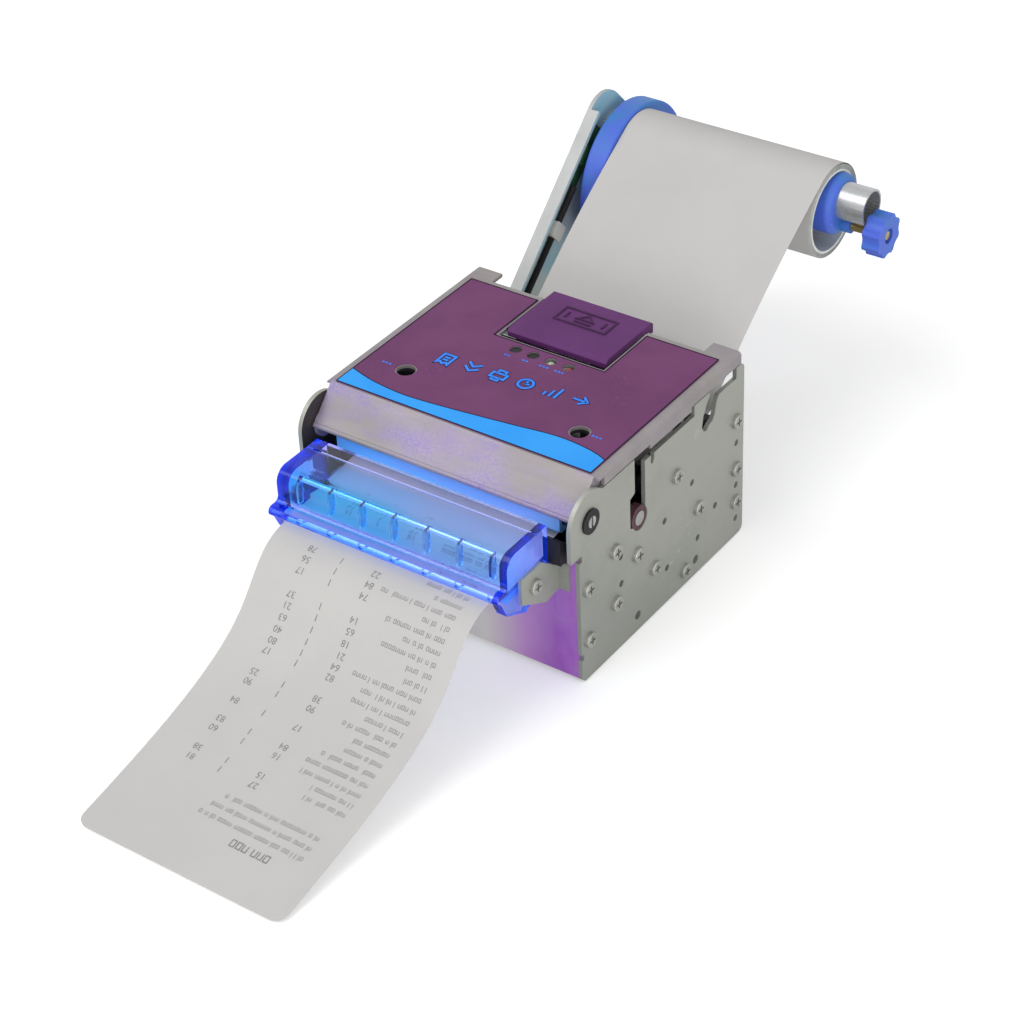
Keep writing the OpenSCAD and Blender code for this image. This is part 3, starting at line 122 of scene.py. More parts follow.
def ranged(tree, value, low, high, smooth=False, least=0.0, most=1.0):
    step = addNode(tree, "ShaderNodeMapRange", interpolation_type="SMOOTHSTEP" if smooth else "LINEAR")
    for label, given in (("Value", value), ("From Min", low), ("From Max", high), ("To Min", least),
                         ("To Max", most)):
        feed(tree, step.inputs[label], given)
    return step.outputs["Result"]


def mixColours(tree, factor, a, b):
    blend = addNode(tree, "ShaderNodeMix", data_type="RGBA")
    for label, value in (("Factor", factor), ("A", a), ("B", b)):
        feed(tree, blend.inputs[label], value)
    return blend.outputs["Result"]


def addRamp(tree, value, tones):
    ramp = addNode(tree, "ShaderNodeValToRGB")
    ramp.color_ramp.elements[0].color = srgb(*tones[0][1])
    ramp.color_ramp.elements[1].color = srgb(*tones[-1][1])
    for at, tone in tones[1:-1]:
        ramp.color_ramp.elements.new(at).color = srgb(*tone)
    tree.links.new(value, ramp.inputs["Fac"])
    return ramp.outputs["Color"]


# one axis of the piece's own coordinates, or of the way a face looks
ownPlace = ("ShaderNodeTexCoord", "Object")
faceDirection = ("ShaderNodeNewGeometry", "True Normal")


def oneAxis(tree, axis, source=ownPlace):
    kind, label = source
    split = addNode(tree, "ShaderNodeSeparateXYZ")
    tree.links.new(addNode(tree, kind).outputs[label], split.inputs[0])
    return split.outputs[axis]


# shared effects, as node groups

number = "NodeSocketFloat"
colour = "NodeSocketColor"
vector = "NodeSocketVector"


def startGroup(name, inputs, outputs):
    tree = bpy.data.node_groups.new(name, "ShaderNodeTree")
    for label, kind, value in inputs:
        socket = tree.interface.new_socket(name=label, in_out="INPUT", socket_type=kind)
        socket.default_value = value
    for label, kind in outputs:
        tree.interface.new_socket(name=label, in_out="OUTPUT", socket_type=kind)
    return tree, tree.nodes.new("NodeGroupInput"), tree.nodes.new("NodeGroupOutput")


def evenNoise(tree, scale):
    place = addNode(tree, "ShaderNodeTexCoord")
    noise = addNode(tree, "ShaderNodeTexNoise")
    setInputs(noise, Scale=scale)
    tree.links.new(place.outputs["Object"], noise.inputs["Vector"])
    return noise.outputs["Fac"]


# noise of the group's own size, drawn out by its stretch
def stretchedNoise(tree, start, detail, roughness=0.5):
    place = addNode(tree, "ShaderNodeTexCoord")
    stretch = addNode(tree, "ShaderNodeVectorMath", operation="MULTIPLY")
    noise = addNode(tree, "ShaderNodeTexNoise")
    setInputs(noise, Detail=detail, Roughness=roughness)
    link = tree.links.new
    link(place.outputs["Object"], stretch.inputs[0])
    link(start.outputs["Stretch"], stretch.inputs[1])
    link(stretch.outputs[0], noise.inputs["Vector"])
    link(start.outputs["Size"], noise.inputs["Scale"])
    return noise.outputs["Fac"]


# two tones in soft patches
def buildPatchyTone(patchFrom=0.35, patchTo=0.68):
    tree, start, end = startGroup(
        "patchyTone",
        [("Tone", colour, (0.5, 0.5, 0.5, 1)), ("Patch Tone", colour, (0.4, 0.4, 0.4, 1)),
         ("Size", number, 60.0), ("Stretch", vector, (1, 1, 1)), ("Amount", number, 0.5)],
        [("Color", colour), ("Patch", number)])
    noise = stretchedNoise(tree, start, detail=4, roughness=0.6)
    spread = ranged(tree, noise, patchFrom, patchTo, smooth=True)
    patch = calculate(tree, "MULTIPLY", spread, start.outputs["Amount"])
    tones = mixColours(tree, patch, start.outputs["Tone"], start.outputs["Patch Tone"])
    tree.links.new(tones, end.inputs["Color"])
    tree.links.new(patch, end.inputs["Patch"])
    return tree


# fine grain for roughness and bump, drawn out along one direction for rolled metal
def buildFineGrain(wideScale=45, grainFrom=0.3, grainTo=0.7):
    tree, start, end = startGroup(
        "fineGrain",
        [("Size", number, 900.0), ("Stretch", vector, (1, 1, 1)),
         ("Low Roughness", number, 0.35), ("High Roughness", number, 0.5)],
        [("Roughness", number), ("Height", number)])
    fine = stretchedNoise(tree, start, detail=3)
    both = calculate(tree, "ADD", fine, evenNoise(tree, wideScale))
    halved = calculate(tree, "MULTIPLY", both, 0.5)
    rough = ranged(tree, halved, grainFrom, grainTo, least=start.outputs["Low Roughness"],
                   most=start.outputs["High Roughness"])
    tree.links.new(rough, end.inputs["Roughness"])
    tree.links.new(fine, end.inputs["Height"])
    return tree


# sparse specks or short scratches, as a mask
def buildWornSpecks(gatherScale=38, bare=0.46, full=0.5):
    tree, start, end = startGroup(
        "wornSpecks",
        [("Size", number, 700.0), ("Stretch", vector, (1, 1, 1)), ("Cover", number, 0.12)],
        [("Mask", number)])
    fine = stretchedNoise(tree, start, detail=2)
    gathered = calculate(tree, "MULTIPLY", fine, evenNoise(tree, gatherScale))
    edge = calculate(tree, "SUBTRACT", bare, start.outputs["Cover"])
    tree.links.new(ranged(tree, gathered, edge, full, smooth=True), end.inputs["Mask"])
    return tree


patchyTone = buildPatchyTone()
fineGrain = buildFineGrain()
wornSpecks = buildWornSpecks()


def placeGroup(tree, group, **values):
    made = tree.nodes.new("ShaderNodeGroup")
    made.node_tree = group
    setInputs(made, **values)
    return made


def addTone(tree, tone, patch, size, amount, stretch=(1, 1, 1)):
    return placeGroup(tree, patchyTone, Tone=srgb(*tone), Patch_Tone=srgb(*patch), Size=size,
                      Stretch=stretch, Amount=amount)


# the first tone where the share is nought, the second where it is one
def paintTwoTones(tree, shader, share, first, second):
    tones = [addTone(tree, **values).outputs["Color"] for values in (first, second)]
    tree.links.new(mixColours(tree, share, *tones), shader.inputs["Base Color"])


# grain in the roughness, and in a bump where one is given
def addGrain(tree, shader, size, rough, stretch=(1, 1, 1), bump=None, depth=0.00005):
    grain = placeGroup(tree, fineGrain, Size=size, Stretch=stretch, Low_Roughness=rough[0],
                       High_Roughness=rough[1])
    tree.links.new(grain.outputs["Roughness"], shader.inputs["Roughness"])
    if bump is not None:
        relief = addNode(tree, "ShaderNodeBump")
        setInputs(relief, Strength=bump, Distance=depth)
        tree.links.new(grain.outputs["Height"], relief.inputs["Height"])
        tree.links.new(relief.outputs["Normal"], shader.inputs["Normal"])


def startMaterial(name):
    material = bpy.data.materials.new(name)
    material.use_nodes = True
    tree = material.node_tree
    tree.nodes.clear()
    out = tree.nodes.new("ShaderNodeOutputMaterial")
    shader = tree.nodes.new("ShaderNodeBsdfPrincipled")
    tree.links.new(shader.outputs["BSDF"], out.inputs["Surface"])
    return material, tree, shader


# one surface finish: patchy tone, grain in roughness and bump, specks over it
def makeFinish(name, tone, patch, size=60, stretch=(1, 1, 1), amount=0.5, grain=900,
               grainStretch=(1, 1, 1), rough=(0.35, 0.5), metallic=0.0, bump=0.1, depth=0.00005,
               specks=None, speckSize=700, speckStretch=(1, 1, 1), cover=0.1, shine=0.5):
    material, tree, shader = startMaterial(name)
    result = addTone(tree, tone, patch, size, amount, stretch).outputs["Color"]
    if specks:
        worn = placeGroup(tree, wornSpecks, Size=speckSize, Stretch=speckStretch, Cover=cover)
        result = mixColours(tree, worn.outputs["Mask"], result, srgb(*specks))
    tree.links.new(result, shader.inputs["Base Color"])
    addGrain(tree, shader, grain, rough, grainStretch, bump, depth)
    setInputs(shader, Metallic=metallic, Specular_IOR_Level=shine)
    return material


# tones run from 0 to 255, and a larger size makes smaller patches
plainFinishes = dict(
    plateSteel=dict(tone=(166, 168, 160), patch=(150, 153, 147), size=26, amount=0.8, grain=500,
                    grainStretch=(1, 0.25, 2.5), rough=(0.42, 0.58), metallic=0.5, bump=0.12,
                    specks=(186, 187, 180), speckSize=420, speckStretch=(1, 0.4, 2), cover=0.06),
    innerSteel=dict(tone=(66, 64, 68), patch=(52, 50, 54), size=40, amount=0.7, grain=600,
                    rough=(0.45, 0.6), metallic=0.6),
    screwSteel=dict(tone=(178, 179, 172), patch=(146, 147, 142), size=300, amount=0.6, grain=1500,
                    rough=(0.3, 0.5), metallic=0.7, bump=0.15),
    shaftSteel=dict(tone=(188, 188, 186), patch=(160, 160, 158), size=120, stretch=(0.2, 1, 1),
                    amount=0.6, grain=1200, grainStretch=(4, 0.4, 0.4), rough=(0.18, 0.34),
                    metallic=0.9, bump=0.06),
    tubeMetal=dict(tone=(196, 197, 198), patch=(160, 163, 165), size=50, stretch=(0.25, 1, 1),
                   amount=0.7, grainStretch=(0.3, 3, 3), rough=(0.18, 0.36), metallic=0.6, bump=0.04),
    brassMetal=dict(tone=(206, 186, 126), patch=(168, 146, 92), size=240, amount=0.6,
                    rough=(0.25, 0.42), metallic=0.9, bump=0.08),
    blackPlastic=dict(tone=(24, 23, 26), patch=(34, 33, 38), size=90, amount=0.6, grain=1600,
                      rough=(0.42, 0.6), bump=0.25, specks=(66, 66, 72), speckSize=900, cover=0.04,
                      shine=0.3),
    whitePlastic=dict(tone=(226, 225, 218), patch=(208, 207, 198), size=80, rough=(0.36, 0.5)),
    leverPlastic=dict(tone=(98, 49, 107), patch=(88, 43, 97), size=55, amount=0.7, grain=1300,
                      rough=(0.46, 0.6), bump=0.25, specks=(118, 72, 126), speckSize=800, cover=0.06,
                      shine=0.2),
    # raised mark on the lever: darker purple, painted shade along its lines
    leverRelief=dict(tone=(66, 32, 72), patch=(56, 26, 62), size=120, amount=0.7, grain=1300,
                     rough=(0.5, 0.64), bump=0.2, shine=0.2),
    bluePlastic=dict(tone=(80, 104, 216), patch=(50, 130, 180), size=45, amount=0.75, grain=1100,
                     rough=(0.36, 0.52), bump=0.12, specks=(118, 138, 228), cover=0.05, shine=0.3),
    guidePlastic=dict(tone=(108, 186, 252), patch=(150, 176, 246), stretch=(0.3, 1, 1), amount=0.8,
                      grain=1100, rough=(0.3, 0.45), bump=0.08, shine=0.3),
    labelFilm=dict(tone=(116, 66, 109), patch=(105, 58, 99), size=34, amount=0.8, grain=1400,
                   rough=(0.46, 0.6), bump=0.2, specks=(124, 76, 118), speckSize=900, shine=0.12),
    rubberBlack=dict(tone=(30, 26, 28), patch=(40, 36, 38), size=70, amount=0.6, grain=1500,
                     rough=(0.55, 0.75), bump=0.2, shine=0.3),
    bushPlastic=dict(tone=(88, 58, 64), patch=(66, 42, 50), size=220, amount=0.8, rough=(0.4, 0.55),
                     bump=0.15, shine=0.3),
    ceramicStrip=dict(tone=(226, 225, 216), patch=(208, 206, 196), rough=(0.18, 0.3), bump=0.04),
    paperWhite=dict(tone=(196, 194, 192), patch=(191, 190, 189), size=30, amount=0.8, grain=1800,
                    rough=(0.74, 0.88), bump=0.2, depth=0.00002, shine=0.1),
    paperEdge=dict(tone=(190, 194, 189), patch=(168, 174, 168), size=420, stretch=(0.05, 1, 1),
                   amount=0.8, grain=1800, rough=(0.74, 0.88), bump=0.2, depth=0.00002, shine=0.1),
    # paper core: lightened well above its own tone, a painted brightness that lifts the shade in its bore
    cardTube=dict(tone=(226, 229, 222), patch=(200, 203, 195), size=160, stretch=(0.4, 1, 1),
                  amount=0.7, grain=1200, rough=(0.7, 0.85), bump=0.3, shine=0.2),
    swooshInk=dict(tone=(58, 166, 252), patch=(50, 156, 248), size=40, amount=0.8, rough=(0.46, 0.58),
                   bump=0.08, shine=0.12),
    # dark ink for printed lines, also used as the painted shadow under the label symbols
    darkInkAndShadow=dict(tone=(22, 16, 30), patch=(36, 28, 46), size=300, amount=0.6, rough=(0.5, 0.6),
                 bump=0.05, shine=0.1),
    markInk=dict(tone=(62, 142, 250), patch=(60, 116, 242), size=200, amount=0.7, rough=(0.46, 0.58),
                 bump=0.05, shine=0.12),
    printInk=dict(tone=(126, 124, 128), patch=(154, 152, 155), size=900, amount=0.8, rough=(0.7, 0.85),
                  shine=0.1))
finishes = {name: makeFinish(name, **values) for name, values in plainFinishes.items()}
print("plain finishes made:", len(finishes))

# lid: warm grey sheet, with lavender clouds and violet flecks on its slanted front
lidSheet = dict(sheet=dict(tone=(155, 150, 147), patch=(144, 138, 139), size=48, amount=0.8,
                           stretch=(0.5, 2, 2)),
                clouds=dict(Size=30, Stretch=(0.8, 1.6, 1.6), Amount=0.75), cloudTone=(164, 150, 184),
                flecks=dict(Size=1300, Stretch=(0.8, 1.1, 1.1), Cover=0.37), fleckTone=(92, 66, 188),
                frontAt=(-0.034, -0.038), elsewhere=0.12, metallic=0.3, shine=0.3,
                grain=dict(size=420, rough=(0.4, 0.56), stretch=(0.2, 2, 2), bump=0.16))


def makeLidFinish(setup):
    material, tree, shader = startMaterial("lidSteel")
    sheet = addTone(tree, **setup["sheet"])
    clouds = placeGroup(tree, patchyTone, **setup["clouds"])
    flecks = placeGroup(tree, wornSpecks, **setup["flecks"])
    front = ranged(tree, oneAxis(tree, "Y"), *setup["frontAt"], least=setup["elsewhere"])
    clouded = calculate(tree, "MULTIPLY", front, clouds.outputs["Patch"])
    flecked = calculate(tree, "MULTIPLY", clouded, flecks.outputs["Mask"])
    veil = mixColours(tree, clouded, sheet.outputs["Color"], srgb(*setup["cloudTone"]))
    tree.links.new(mixColours(tree, flecked, veil, srgb(*setup["fleckTone"])), shader.inputs["Base Color"])
    addGrain(tree, shader, **setup["grain"])
    setInputs(shader, Metallic=setup["metallic"], Specular_IOR_Level=setup["shine"])
    return material


# front panel: near-white at the left, a painted brightness that lifts the shade under the hood and receipt,
# and violet towards the right
panelSheet = dict(leftToRight=(-0.05, 0.052), cloudShare=0.35, metallic=0.1,
                  tones=[(0, (240, 238, 230)), (0.64, (240, 236, 230)), (0.8, (200, 142, 216)),
                         (0.91, (156, 74, 190)), (1, (160, 78, 192))],
                  clouds=dict(tone=(226, 220, 230), patch=(206, 166, 222), size=36, amount=0.9,
                              stretch=(1, 1, 0.5)),
                  grain=dict(size=500, rough=(0.3, 0.45), stretch=(0.3, 1, 2)))


def makePanelFinish(setup):
    material, tree, shader = startMaterial("panelSteel")
    plain = addRamp(tree, ranged(tree, oneAxis(tree, "X"), *setup["leftToRight"]), setup["tones"])
    clouds = addTone(tree, **setup["clouds"])
    share = calculate(tree, "MULTIPLY", clouds.outputs["Patch"], setup["cloudShare"])
    tree.links.new(mixColours(tree, share, plain, clouds.outputs["Color"]), shader.inputs["Base Color"])
    addGrain(tree, shader, **setup["grain"])
    setInputs(shader, Metallic=setup["metallic"])
    return material


# left side plate: darker on its inner face, painted shade between the plate and the lid
leftPlate = dict(outer=dict(tone=(166, 168, 160), patch=(150, 153, 147), size=26, amount=0.8),
                 inner=dict(tone=(74, 68, 68), patch=(54, 48, 50), size=40, amount=0.8), metallic=0.5,
                 grain=dict(size=500, rough=(0.42, 0.58), stretch=(1, 0.25, 2.5)), innerAt=(0.3, 0.9))
# arm: light paint, turquoise where it faces the roll
armSheet = dict(outer=dict(tone=(178, 179, 179), patch=(165, 167, 167), size=40, amount=0.8),
                inner=dict(tone=(188, 200, 196), patch=(138, 194, 210), size=44, amount=0.9), metallic=0.15,
                grain=dict(size=900, rough=(0.36, 0.52), bump=0.15), innerAt=(0.3, 0.9))


# sheet with a second tone on the face that looks to the right
def makeTwoFaced(name, setup):
    material, tree, shader = startMaterial(name)
    inward = ranged(tree, oneAxis(tree, "X", faceDirection), *setup["innerAt"])
    paintTwoTones(tree, shader, inward, setup["outer"], setup["inner"])
    addGrain(tree, shader, **setup["grain"])
    setInputs(shader, Metallic=setup["metallic"])
    return material


# two lamps in one node: pale green at the left, dull red at the right
lampPair = dict(parting=0.007, grain=dict(size=1500, rough=(0.15, 0.3)),
                green=dict(tone=(176, 190, 160), patch=(120, 136, 112), size=600, amount=0.7),
                red=dict(tone=(150, 70, 66), patch=(104, 40, 44), size=600, amount=0.7))


def makeLampFinish(setup):
    material, tree, shader = startMaterial("lampLens")
    side = calculate(tree, "GREATER_THAN", oneAxis(tree, "X"), setup["parting"])
    paintTwoTones(tree, shader, side, setup["green"], setup["red"])
    addGrain(tree, shader, **setup["grain"])
    return material


# circuit boards: green lacquer over faint tracks
board = dict(trackScale=160, trackTones=[(44, 92, 58), (52, 104, 66)], lineTone=(84, 128, 80),
             lineWidth=0.03, lacquer=dict(tone=(44, 90, 56), patch=(30, 68, 44), size=60, amount=0.9),
             grain=dict(size=1000, rough=(0.25, 0.4)))


def makeBoardFinish(setup):
    material, tree, shader = startMaterial("boardLacquer")
    tracks = addNode(tree, "ShaderNodeTexBrick")
    first, second = (srgb(*tone) for tone in setup["trackTones"])
    setInputs(tracks, Scale=setup["trackScale"], Color1=first, Color2=second,
              Mortar=srgb(*setup["lineTone"]), Mortar_Size=setup["lineWidth"])
    place = addNode(tree, "ShaderNodeTexCoord")
    tree.links.new(place.outputs["Object"], tracks.inputs["Vector"])
    lacquer = addTone(tree, **setup["lacquer"])
    tones = mixColours(tree, lacquer.outputs["Patch"], tracks.outputs["Color"], lacquer.outputs["Color"])
    tree.links.new(tones, shader.inputs["Base Color"])
    addGrain(tree, shader, **setup["grain"])
    return material


# mouth hood: clear blue plastic, lavender at the brim, cyan round the nose and paler to the right, with a
# painted glow in its end walls and along its lip
hood = dict(frontToRear=(-0.0803, -0.0538),
            tones=[(0, (232, 226, 255)), (0.17, (232, 226, 255)), (0.21, (112, 230, 255)),
                   (0.34, (116, 230, 255)), (0.42, (172, 226, 255)), (0.72, (190, 222, 255)),
                   (0.78, (246, 232, 250)), (1, (246, 232, 250))],
            clouds=dict(Size=50, Stretch=(0.4, 1, 1), Amount=0.4), cloudTone=(170, 226, 255),
            paleTone=(240, 228, 250), paleAt=(-0.006, 0.012), paleShare=0.4,
            paintedGlowTone=(6, 62, 236), paintedGlowStrength=0.3, endsAt=(0.0415, 0.044), lipAt=(-0.0788, -0.0796),
            grain=dict(size=300, rough=(0.03, 0.1)), bending=1.36, dye=(0.06, 0.32, 1.0, 1), dyeDensity=85,
            shadow=(0.9, 0.95, 1.0, 1))


def makeHoodFinish(setup):
    material, tree, shader = startMaterial("hoodPlastic")
    out = tree.nodes["Material Output"]
    link = tree.links.new
    across = oneAxis(tree, "X")
    along = oneAxis(tree, "Y")
    bands = addRamp(tree, ranged(tree, along, *setup["frontToRear"]), setup["tones"])
    clouds = placeGroup(tree, patchyTone, **setup["clouds"])
    clouded = mixColours(tree, clouds.outputs["Patch"], bands, srgb(*setup["cloudTone"]))
    right = ranged(tree, across, *setup["paleAt"], smooth=True, most=setup["paleShare"])
    link(mixColours(tree, right, clouded, srgb(*setup["paleTone"])), shader.inputs["Base Color"])
    # painted glow: the end walls and the lip give off light of their own
    ends = ranged(tree, calculate(tree, "ABSOLUTE", across), *setup["endsAt"], smooth=True)
    lip = ranged(tree, along, *setup["lipAt"], smooth=True)
    edges = calculate(tree, "MAXIMUM", ends, lip)
    link(mixColours(tree, edges, srgb(0, 0, 0), srgb(*setup["paintedGlowTone"])), shader.inputs["Emission Color"])
    addGrain(tree, shader, **setup["grain"])
    setInputs(shader, Emission_Strength=setup["paintedGlowStrength"], Transmission_Weight=1.0,
              IOR=setup["bending"])
    dye = addNode(tree, "ShaderNodeVolumeAbsorption")
    setInputs(dye, Color=setup["dye"], Density=setup["dyeDensity"])
    link(dye.outputs["Volume"], out.inputs["Volume"])
    # light falls through it onto the paper
    ray = addNode(tree, "ShaderNodeLightPath")
    clear = addNode(tree, "ShaderNodeBsdfTransparent")
    setInputs(clear, Color=setup["shadow"])
    blend = addNode(tree, "ShaderNodeMixShader")
    link(ray.outputs["Is Shadow Ray"], blend.inputs["Fac"])
    link(shader.outputs["BSDF"], blend.inputs[1])
    link(clear.outputs["BSDF"], blend.inputs[2])
    link(blend.outputs["Shader"], out.inputs["Surface"])
    return material


finishes["lidSteel"] = makeLidFinish(lidSheet)
finishes["panelSteel"] = makePanelFinish(panelSheet)
finishes["armPaint"] = makeTwoFaced("armPaint", armSheet)
finishes["leftSteel"] = makeTwoFaced("leftSteel", leftPlate)
finishes["lampLens"] = makeLampFinish(lampPair)
finishes["boardLacquer"] = makeBoardFinish(board)
finishes["hoodPlastic"] = makeHoodFinish(hood)

nodesByFinish = dict(
    plateSteel="base_plate right_side_plate rear_panel mouth_brackets",
    leftSteel="left_side_plate",
    innerSteel="mechanism_cheeks drive_bracket cutter_frame lid_frame latch_hooks",
    panelSteel="front_panel",
    screwSteel="panel_screws feed_motor cutter_motor data_port arm_screws",
    shaftSteel="platen_shaft moving_blade fixed_blade hinge_pins head_springs latch_shaft latch_pins",
    lidSteel="lid_cover",
    tubeMetal="head_plate spindle_tube",
    brassMetal="motor_pinion board_posts knob_screw",
    armPaint="roll_arm",
    blackPlastic="hinge_bushes end_blocks paper_guide feed_button reset_button power_inlet",
    whitePlastic="platen_gear idler_gear cutter_pinion cable_clip",
    leverPlastic="release_lever",
    bluePlastic="guide_disc lock_hub lock_knob",
    guidePlastic="mouth_guide upper_guide",
    hoodPlastic="mouth_hood",
    bushPlastic="platen_bushes",
    rubberBlack="platen_rubber sensor_cable",
    labelFilm="lid_label",
    lampLens="status_leds",
    ceramicStrip="print_head",
    boardLacquer="button_board control_board low_paper_sensor",
    cardTube="paper_core",
    paperWhite="paper_roll receipt_paper paper_web")
nodeFinishes = {name: finish for finish, names in nodesByFinish.items() for name in names.split()}
for name, node in cadNodes.items():
    node.data.materials.clear()
    node.data.materials.append(finishes[nodeFinishes[name]])
print("finishes on CAD nodes:", len(nodeFinishes))


# shaping and finishing a new piece

def applyModifiers(piece):
    pick(piece)
    for modifier in list(piece.modifiers):
        bpy.ops.object.modifier_apply(modifier=modifier.name)


# place in the mesh, body and finish
def settle(piece, name, body, finish):
    pick(piece)
    bpy.ops.object.transform_apply(location=True, rotation=True, scale=True)
    piece.name = name
    piece.data.name = name
    piece.data.materials.clear()
    piece.data.materials.append(finishes[finish])
    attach(piece, body)


def addGrid(width, length, columns, rows):
    clearSelection()
    bpy.ops.mesh.primitive_grid_add(x_subdivisions=columns, y_subdivisions=rows, size=1)
    grid = bpy.context.object
    grid.scale = (width, length, 1)
    bpy.ops.object.transform_apply(location=False, rotation=False, scale=True)
    return grid


def shiftMesh(piece, x, y):
    for v in piece.data.vertices:
        v.co.x += x
        v.co.y += y


def editWhole(piece, change, **settings):
    pick(piece)
    bpy.ops.object.mode_set(mode="EDIT")
    bpy.ops.mesh.select_all(action="SELECT")
    change(**settings)
    bpy.ops.object.mode_set(mode="OBJECT")


def thicken(piece, amount, offset=0.0):
    wall = piece.modifiers.new("wall", "SOLIDIFY")
    wall.thickness = amount
    wall.offset = offset
    wall.use_even_offset = True
    applyModifiers(piece)


def smoothByAngle(piece, degrees):
    pick(piece)
    bpy.ops.object.shade_smooth_by_angle(angle=math.radians(degrees))


def joinPieces(pieces):
    clearSelection()
    for piece in pieces:
        piece.select_set(True)
    bpy.context.view_layer.objects.active = pieces[0]
    bpy.ops.object.join()
    return bpy.context.object


# a smooth line through all its stops
def smoothLine(stops, count):
    stops = [Vector(stop) for stop in stops]
    line = []
    for i in range(len(stops) - 1):
        a, b = stops[max(i - 1, 0)], stops[i]
        c, d = stops[i + 1], stops[min(i + 2, len(stops) - 1)]
        for k in range(count):
            t = k / count
            line.append(0.5 * (2 * b + (c - a) * t + (2 * a - 5 * b + 4 * c - d) * t * t
                               + (3 * b - a - 3 * c + d) * t ** 3))
    return line + [stops[-1]]


# routes of the paper: y and z of its middle, in metres

def curvePoint(p, t):
    s = 1 - t
    shares = (s ** 3, 3 * t * s * s, 3 * t * t * s, t ** 3)
    return tuple(sum(share * point[k] for share, point in zip(shares, p)) for k in (0, 1))


def denseRoute(points, lift):
    route = [((d + frontEdge) * mm, (z + lift) * mm) for d, z in points]
    lengths = [0.0]
    for a, b in zip(route, route[1:]):
        lengths.append(lengths[-1] + math.hypot(b[0] - a[0], b[1] - a[1]))
    return route, lengths


def onRoute(route, lengths, s):
    s = min(max(s, 0.0), lengths[-1])
    k = 0
    while k < len(lengths) - 2 and lengths[k + 1] < s:
        k += 1
    t = (s - lengths[k]) / (lengths[k + 1] - lengths[k])
    a, b = route[k], route[k + 1]
    before = route[max(k - 1, 0)]
    after = route[min(k + 2, len(route) - 1)]
    dy = (b[0] - before[0]) * (1 - t) + (after[0] - a[0]) * t
    dz = (b[1] - before[1]) * (1 - t) + (after[1] - a[1]) * t
    size = math.hypot(dy, dz)
    return a[0] + (b[0] - a[0]) * t, a[1] + (b[1] - a[1]) * t, dy / size, dz / size


# flat drawing to curved paper: x stays, y runs along the route, z stands off the printed side
def layOnPaper(piece, route, lengths):
    for v in piece.data.vertices:
        y, z, dy, dz = onRoute(route, lengths, v.co.y)
        v.co = (v.co.x, y + dz * v.co.z, z - dy * v.co.z)


def flatPaper(setup, total):
    sheet = addGrid(setup["width"], total, setup["columns"], setup["rows"])
    shiftMesh(sheet, 0, total / 2)
    return sheet


def finishPaper(sheet, name, setup, route, lengths):
    layOnPaper(sheet, route, lengths)
    thicken(sheet, setup["paper"])
    smoothByAngle(sheet, setup["crease"])
    settle(sheet, name, "printer", "paperWhite")


receipt = dict(width=0.0796, paper=0.0001, lift=0.16, columns=24, rows=150, steps=40, corner=0.004,
               crease=40, stretches=[[(14, 49.6), (0, 48.5), (-18, 47.1), (-30, 46)],
                                     [(-30, 46), (-44, 44.5), (-46, 33), (-58, 24)],
                                     [(-58, 24), (-74, 12), (-104, 6), (-135.8, 0.25)]])


def receiptRoute(setup):
    points = []
    for stretch in setup["stretches"]:
        points += [curvePoint(stretch, i / setup["steps"]) for i in range(setup["steps"])]
    points.append(setup["stretches"][-1][3])
    return denseRoute(points, setup["lift"])


receiptPath, receiptLengths = receiptRoute(receipt)


# rounded corners at the free end
def roundCorners(sheet, setup, total):
    corner = setup["corner"]
    inner = setup["width"] / 2 - corner
    for v in sheet.data.vertices:
        over = v.co.y - (total - corner)
        beside = abs(v.co.x) - inner
        far = math.hypot(over, beside)
        if over > 0 and beside > 0 and far > corner:
            v.co.y = total - corner + over * corner / far
            v.co.x = math.copysign(inner + beside * corner / far, v.co.x)


def makeReceipt(setup):
    total = receiptLengths[-1]
    sheet = flatPaper(setup, total)
    roundCorners(sheet, setup, total)
    finishPaper(sheet, "receiptSheet", setup, receiptPath, receiptLengths)
    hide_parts("receipt_paper")


makeReceipt(receipt)
print("receipt laid, length", round(receiptLengths[-1], 4))

# the roll hangs on its hub, so its middle lies below the spindle's
roll = dict(spindleBack=181.0, spindleZ=83.4, hubD=22.0, boreD=28.6, play=0.1, lean=36.0, outerD=33.8,
            coreD=30.4, coreGap=0.02, width=79.5, shifts=[-0.1, 0.2, 0.0, 0.3, 0.05, 0.35, 0.1],
            sides=128, turnShare=0.86, edge=0.03, crease=35, cutFace=0.6, webGap=0.3)
rollDrop = (roll["boreD"] - roll["hubD"]) / 2 - roll["play"]
rollY = roll["spindleBack"] - rollDrop * math.sin(math.radians(roll["lean"])) + frontEdge
rollZ = roll["spindleZ"] - rollDrop * math.cos(math.radians(roll["lean"]))

web = dict(width=0.0798, paper=0.0001, lift=0.15, columns=12, rows=170, crease=40, inlet=(98.0, 43.0),
           bulge=2.5, guideStops=(98, 80, 60, 44), lead=7.6, pathZ=50.4, platenBack=34.4, endBack=19.0,
           endDrop=0.2, wrap=150, wrapSteps=50, freeSteps=40)


